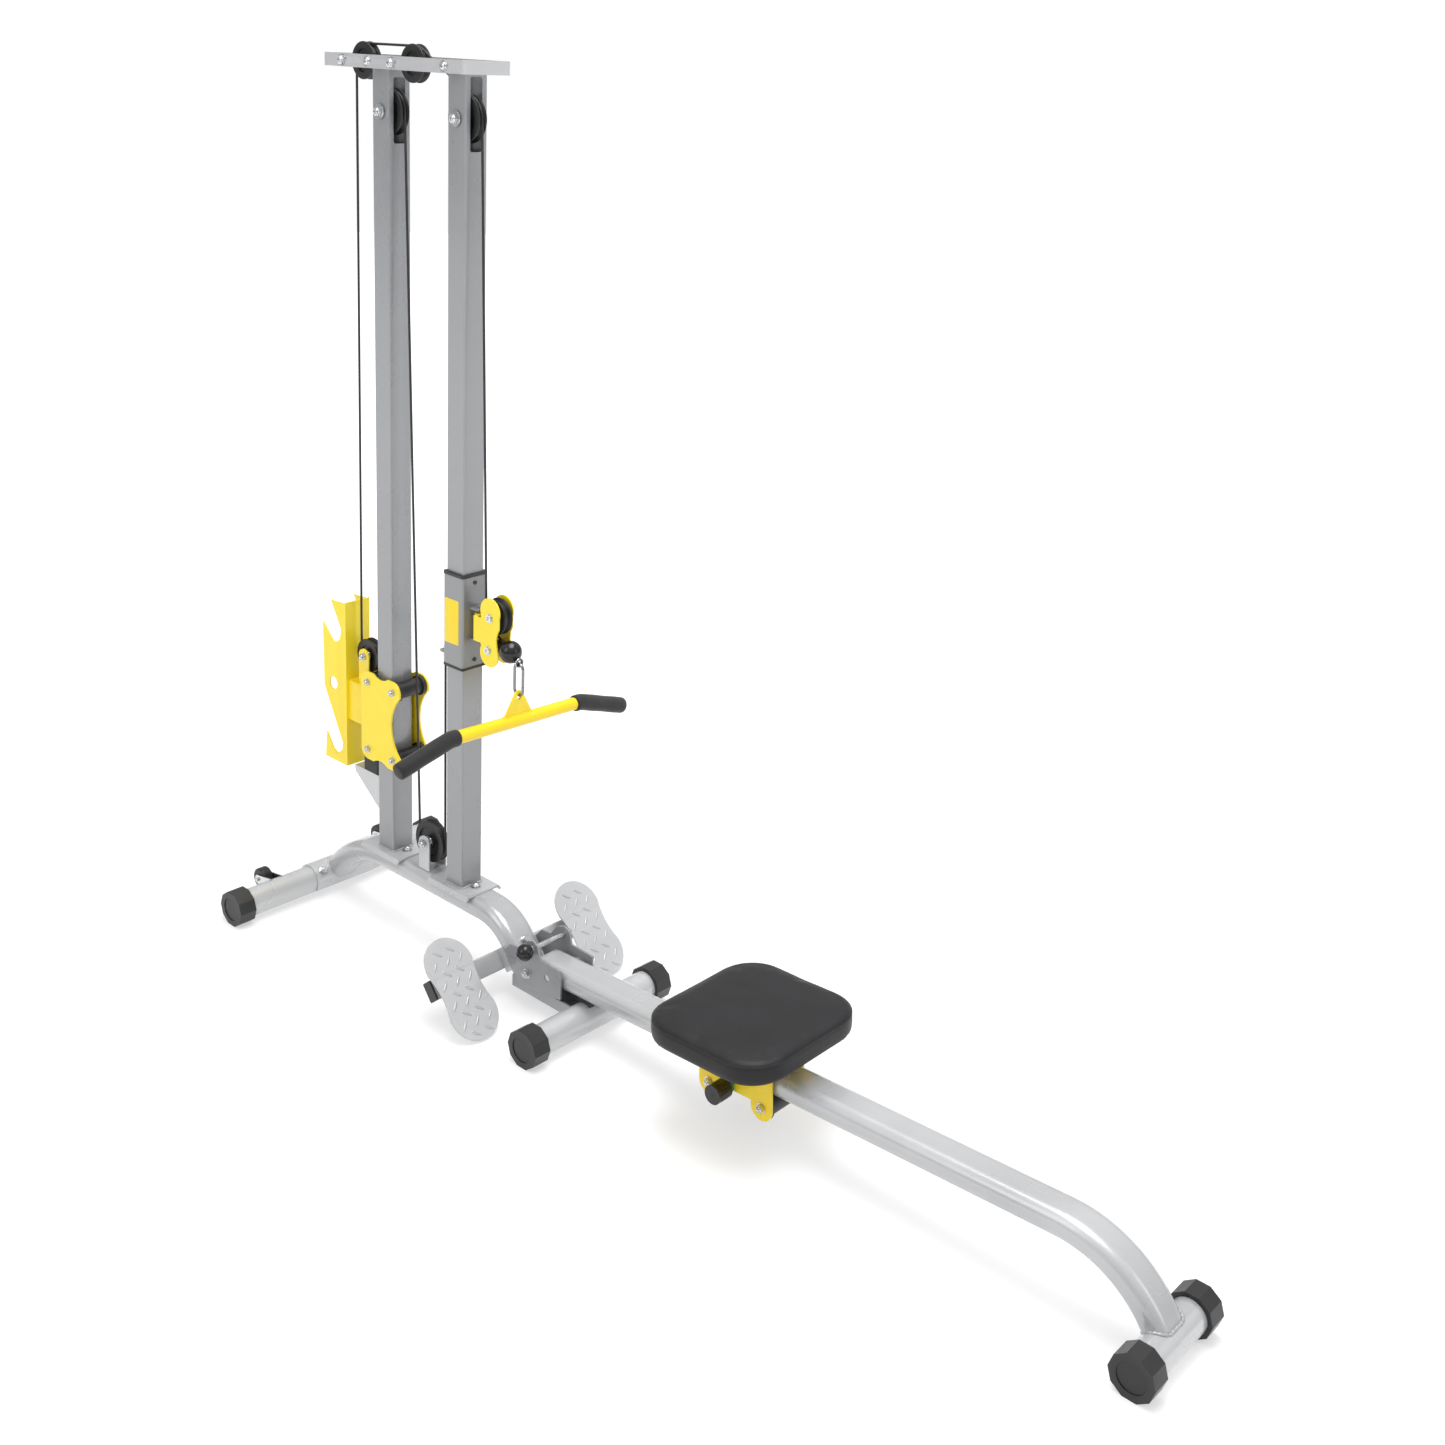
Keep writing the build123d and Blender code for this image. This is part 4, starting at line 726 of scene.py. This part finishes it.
def bar_grips():
    """Foam sleeves over the bent ends, soft at both ends."""
    axis_x = centre("lat_bar").x
    drop = radians(16)
    bend_y, bend_r, arm = 168 * MM, 60 * MM, 114 * MM
    straight = bend_y - bend_r * drop / 2
    bar_z = 580 * MM
    bm = bmesh.new()
    for side in (-1, 1):
        path = [Vector((axis_x, side * y * MM, bar_z)) for y in (150, 150.6, 152, 154, 156)]
        for k in range(1, 7):
            turn = drop * k / 6
            path.append(Vector((axis_x, side * (straight + bend_r * sin(turn)),
                                bar_z - bend_r * (1 - cos(turn)))))
        last = path[-1]
        out = Vector((0, side * cos(drop), -sin(drop)))
        path += [last + out * arm * k / 12 for k in range(1, 13)]
        path += [last + out * (arm + d * MM) for d in (1.6, 3.0, 3.8)]
        radii = [14.2, 15.2, 16.0, 16.4, 16.5] + [16.5] * 6 + [16.5 + 0.25 * sin(k * 0.9) for k in range(12)]
        radii += [15.8, 14.0, 10.5]
        sweep(bm, path, [r * MM for r in radii], 32, across=(1, 0, 0))
    bm.transform(bar_hang())
    obj = piece("bar_foam_grips", bm, "bar", FOAM)
    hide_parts("bar_grips")


def tab_weld():
    """Bead along both faces of the bar's hanging tab."""
    axis_x = centre("lat_bar").x
    loop = rounded_loop(7 * MM, 72 * MM, 3 * MM)
    bm = bmesh.new()
    bead(bm, [p + Vector((axis_x, 0, BAR_TAB_FOOT_Z)) for p in loop], 1.8 * MM, 9)
    bm.transform(bar_hang())
    piece("tab_weld", bm, "bar", YELLOW)


# ------------------------------------------------------------------ seat

PAD_LENGTH, PAD_WIDTH, PAD_HEIGHT, PAD_CORNER = 289 * MM, 314 * MM, 45 * MM, 76 * MM


def pad_place():
    return Matrix.Translation(centre("seat_pad")) @ Matrix.Rotation(-RISE, 4, "Y")


def pad_blank():
    """Rounded block a little smaller than the pad, which the cloth run blows up."""
    bm = bmesh.new()
    rings = []
    for height, inset in ((-21, 5), (-19, 3), (-8, 2.2), (6, 2.2), (13, 2.8), (17, 4.5), (19.5, 9), (20.5, 18)):
        loop = rounded_loop(PAD_LENGTH - 2 * inset * MM, PAD_WIDTH - 2 * inset * MM,
                            PAD_CORNER - inset * MM, 10)
        rings.append([bm.verts.new(p + Vector((0, 0, height * MM))) for p in loop])
    for a, b in zip(rings, rings[1:]):
        for k in range(len(a)):
            bm.faces.new((a[k], a[(k + 1) % len(a)], b[(k + 1) % len(a)], b[k]))
    bm.faces.new(rings[0][::-1])
    bm.faces.new(rings[-1])
    bmesh.ops.recalc_face_normals(bm, faces=bm.faces)
    mesh = bpy.data.meshes.new("pad_blank")
    bm.to_mesh(mesh)
    bm.free()
    obj = bpy.data.objects.new("seat_cushion", mesh)
    bpy.context.collection.objects.link(obj)
    return obj


def apply_modifiers(obj):
    bpy.context.view_layer.update()
    shaped = bpy.data.meshes.new_from_object(obj.evaluated_get(bpy.context.evaluated_depsgraph_get()))
    obj.modifiers.clear()
    obj.data = shaped


def crown_at(point):
    """1 in the middle of the pad, falling to 0 at its outline."""
    u, v = point.x / (PAD_LENGTH / 2), point.y / (PAD_WIDTH / 2)
    return sqrt(max(0.0, 1 - u * u) * max(0.0, 1 - v * v))


def blow_up(obj, frames, cap):
    """Cloth run with inside pressure. The underside is held by the board, the tight side panel keeps its
    outline, and no point moves past the cap."""
    rest = [v.co.copy() for v in obj.data.vertices]
    lowest = min(p.z for p in rest)
    board = obj.vertex_groups.new(name="board")
    board.add([i for i, p in enumerate(rest) if p.z < lowest + 3.5 * MM], 1.0, "REPLACE")
    cloth = obj.modifiers.new("cloth", "CLOTH")
    cloth.settings.quality = 6
    cloth.settings.mass = 0.3
    cloth.settings.tension_stiffness = 60
    cloth.settings.compression_stiffness = 60
    cloth.settings.bending_stiffness = 8
    cloth.settings.use_pressure = True
    cloth.settings.uniform_pressure_force = 4.0
    cloth.settings.vertex_group_mass = "board"
    cloth.settings.effector_weights.gravity = 0
    cloth.point_cache.frame_start = 1
    cloth.point_cache.frame_end = frames
    for step in range(1, frames + 1):
        bpy.context.scene.frame_set(step)
    apply_modifiers(obj)
    bpy.context.scene.frame_set(1)
    for vertex, start in zip(obj.data.vertices, rest):
        lift = max(-cap, min(cap, vertex.co.z - start.z)) * crown_at(start)
        vertex.co = start + Vector((0, 0, lift))


def tidy_pad(obj):
    """Keeps the pad inside its CAD size and gives it the crown and the soft wrinkles of stretched vinyl."""
    half_x, half_y, half_z = PAD_LENGTH / 2, PAD_WIDTH / 2, PAD_HEIGHT / 2
    for vertex in obj.data.vertices:
        p = vertex.co
        if p.z > 0:
            ripple = noise.noise(Vector((p.x * 9, p.y * 28, 3))) * 1.0 * MM
            p.z += crown_at(p) * (2.2 * MM + ripple)
        p.x = max(-half_x - 1 * MM, min(half_x + 1 * MM, p.x))
        p.y = max(-half_y - 1 * MM, min(half_y + 1 * MM, p.y))
        p.z = max(-half_z, min(half_z + 5 * MM, p.z))


def seat_cushion():
    obj = pad_blank()
    remesh = obj.modifiers.new("remesh", "REMESH")
    remesh.mode = "VOXEL"
    remesh.voxel_size = 5 * MM
    apply_modifiers(obj)
    blow_up(obj, 14, 5 * MM)
    tidy_pad(obj)
    obj.modifiers.new("smooth", "SMOOTH").iterations = 4
    subdivide = obj.modifiers.new("subdivide", "SUBSURF")
    subdivide.levels = 1
    apply_modifiers(obj)
    obj.data.transform(pad_place())
    for polygon in obj.data.polygons:
        polygon.use_smooth = True
    dress(obj, VINYL)
    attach(obj, "seat")
    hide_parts("seat_pad")
    return obj


def pad_seam(cushion, level, name, size):
    """Stitched seam that runs round the side of the cushion at one level."""
    tree = BVHTree.FromPolygons([v.co for v in cushion.data.vertices],
                                [p.vertices for p in cushion.data.polygons])
    place = pad_place()
    points = []
    outline = densify(rounded_loop(PAD_LENGTH + 60 * MM, PAD_WIDTH + 60 * MM, PAD_CORNER + 30 * MM, 12), 4 * MM)
    for p in outline:
        outside = place @ Vector((p.x, p.y, level))
        core = Vector((max(-PAD_LENGTH / 2 + PAD_CORNER, min(PAD_LENGTH / 2 - PAD_CORNER, p.x)),
                       max(-PAD_WIDTH / 2 + PAD_CORNER, min(PAD_WIDTH / 2 - PAD_CORNER, p.y)), level))
        inward = (place @ core - outside).normalized()
        hit = tree.ray_cast(outside, inward)[0]
        if hit is not None:
            points.append(hit + inward * size * 0.35)
    bm = bmesh.new()
    radii = [size * (1 + 0.12 * (k % 2)) for k in range(len(points))]
    closed_sweep(bm, points, radii, 8)
    return piece(name, bm, "seat", VINYL, 80)


def seat_board():
    """Board under the cushion with the folded hem of the cover and its staples."""
    place = pad_place()
    bm = bmesh.new()
    rings = []
    for height, inset in ((-22.4, 30), (-23.3, 28), (-23.3, 12), (-22.4, 9)):
        loop = rounded_loop(PAD_LENGTH - 2 * inset * MM, PAD_WIDTH - 2 * inset * MM,
                            PAD_CORNER - inset * MM, 10)
        rings.append([bm.verts.new(place @ (p + Vector((0, 0, height * MM)))) for p in loop])
    for a, b in zip(rings, rings[1:]):
        for k in range(len(a)):
            bm.faces.new((a[k], a[(k + 1) % len(a)], b[(k + 1) % len(a)], b[k]))
    piece("seat_hem", bm, "seat", VINYL)
    bm = bmesh.new()
    for p in densify(rounded_loop(PAD_LENGTH - 40 * MM, PAD_WIDTH - 40 * MM, PAD_CORNER - 20 * MM, 8), 30 * MM):
        ahead = Vector((-p.y, p.x, 0)).normalized() * 5 * MM
        at = p + Vector((0, 0, -23.6 * MM))
        sweep(bm, [place @ (at - ahead), place @ at, place @ (at + ahead)], [0.5 * MM] * 3, 6, across=(0, 0, 1))
    piece("seat_staples", bm, "seat", ZINC)


# ------------------------------------------------------------------ stage, light and camera


def studio():
    """Round pale floor that glows a little more towards its far rim."""
    bm = bmesh.new()
    bmesh.ops.create_circle(bm, cap_ends=True, segments=96, radius=14.0)
    mesh = bpy.data.meshes.new("studio_floor")
    bm.to_mesh(mesh)
    bm.free()
    floor = bpy.data.objects.new("studio_floor", mesh)
    bpy.context.collection.objects.link(floor)
    mat, tree, shader = new_material("studio_white", Roughness=0.95, Base_Color=(0.5, 0.5, 0.5, 1),
                                     Emission_Color=(1, 1, 1, 1))
    reach = add_node(tree, "ShaderNodeVectorMath", operation="LENGTH")
    tree.links.new(object_coords(tree), reach.inputs[0])
    glow = spread(tree, reach.outputs["Value"], 0.5, 0.98, 1.2, 4.5)
    tree.links.new(glow, shader.inputs["Emission Strength"])
    mesh.materials.append(mat)


def area_light(name, at, target, size, power):
    data = bpy.data.lights.new(name, "AREA")
    data.shape = "RECTANGLE"
    data.size, data.size_y = size
    data.energy = power
    light = bpy.data.objects.new(name, data)
    bpy.context.collection.objects.link(light)
    at, target = Vector(at), Vector(target)
    light.matrix_world = Matrix.Translation(at) @ (at - target).to_track_quat("Z", "Y").to_matrix().to_4x4()
    return light


def sky():
    """Room light: bright ceiling, dimmer walls, so round tubes shade from top to side."""
    world = bpy.data.worlds.new("studio_light")
    world.use_nodes = True
    tree = world.node_tree
    tree.nodes["Background"].inputs["Color"].default_value = (1, 1, 1, 1)
    coords = add_node(tree, "ShaderNodeTexCoord")
    split = add_node(tree, "ShaderNodeSeparateXYZ")
    tree.links.new(coords.outputs["Generated"], split.inputs[0])
    room = tree.nodes["Background"]
    tree.links.new(spread(tree, split.outputs["Z"], 0.42, 0.95, 0.05, 0.9), room.inputs["Strength"])
    paper = add_node(tree, "ShaderNodeBackground", Color=(1, 1, 1, 1))
    seen = add_node(tree, "ShaderNodeLightPath")
    either = add_node(tree, "ShaderNodeMixShader")
    tree.links.new(seen.outputs["Is Camera Ray"], either.inputs[0])
    tree.links.new(room.outputs[0], either.inputs[1])
    tree.links.new(paper.outputs[0], either.inputs[2])
    tree.links.new(either.outputs[0], tree.nodes["World Output"].inputs["Surface"])
    bpy.context.scene.world = world


def lights():
    sky()
    middle = (0, 0, 0.7)
    area_light("key", (-1.2, -4.6, 3.6), middle, (2.2, 3.4), 48)
    area_light("rim", (4.4, 1.6, 2.4), middle, (1.6, 3.0), 22)
    area_light("top", (0.2, 0.2, 5.0), middle, (3.6, 2.6), 190)


def camera():
    """Standing view from the front left corner, tilted down and rolled a little."""
    yaw, pitch, roll = radians(131.267), radians(-14.892), radians(2.579)
    ahead = Vector((cos(pitch) * cos(yaw), cos(pitch) * sin(yaw), sin(pitch)))
    right = ahead.cross(Vector((0, 0, 1))).normalized()
    up = right.cross(ahead)
    right, up = cos(roll) * right + sin(roll) * up, cos(roll) * up - sin(roll) * right
    data = bpy.data.cameras.new("camera")
    data.lens = 42.48
    data.sensor_width = 36
    data.shift_y = -0.154
    data.clip_end = 60
    cam = bpy.data.objects.new("camera", data)
    bpy.context.collection.objects.link(cam)
    turn = Matrix((right, up, -ahead)).transposed().to_4x4()
    cam.matrix_world = Matrix.Translation(Vector((1.9189, -2.0797, 1.8661))) @ turn
    bpy.context.scene.camera = cam


# ------------------------------------------------------------------ the whole scene

camera()
studio()
lights()
bpy.context.scene.view_settings.view_transform = "Standard"

frame_fasteners()
carriage_fasteners()
swivel_fasteners()
seat_fasteners()
mast_welds()
foot_weld()
for plate_side in (-1, 1):
    tread_bars(plate_side)
sleeve_label()
lock_pin_ball()
ball_eye()
knob_cover()
pulley_bearings()
cable_runs()
cable_ferrule()
bar_grips()
tab_weld()
pad = seat_cushion()
pad_seam(pad, 13 * MM, "seat_seam", 1.5 * MM)
seat_board()
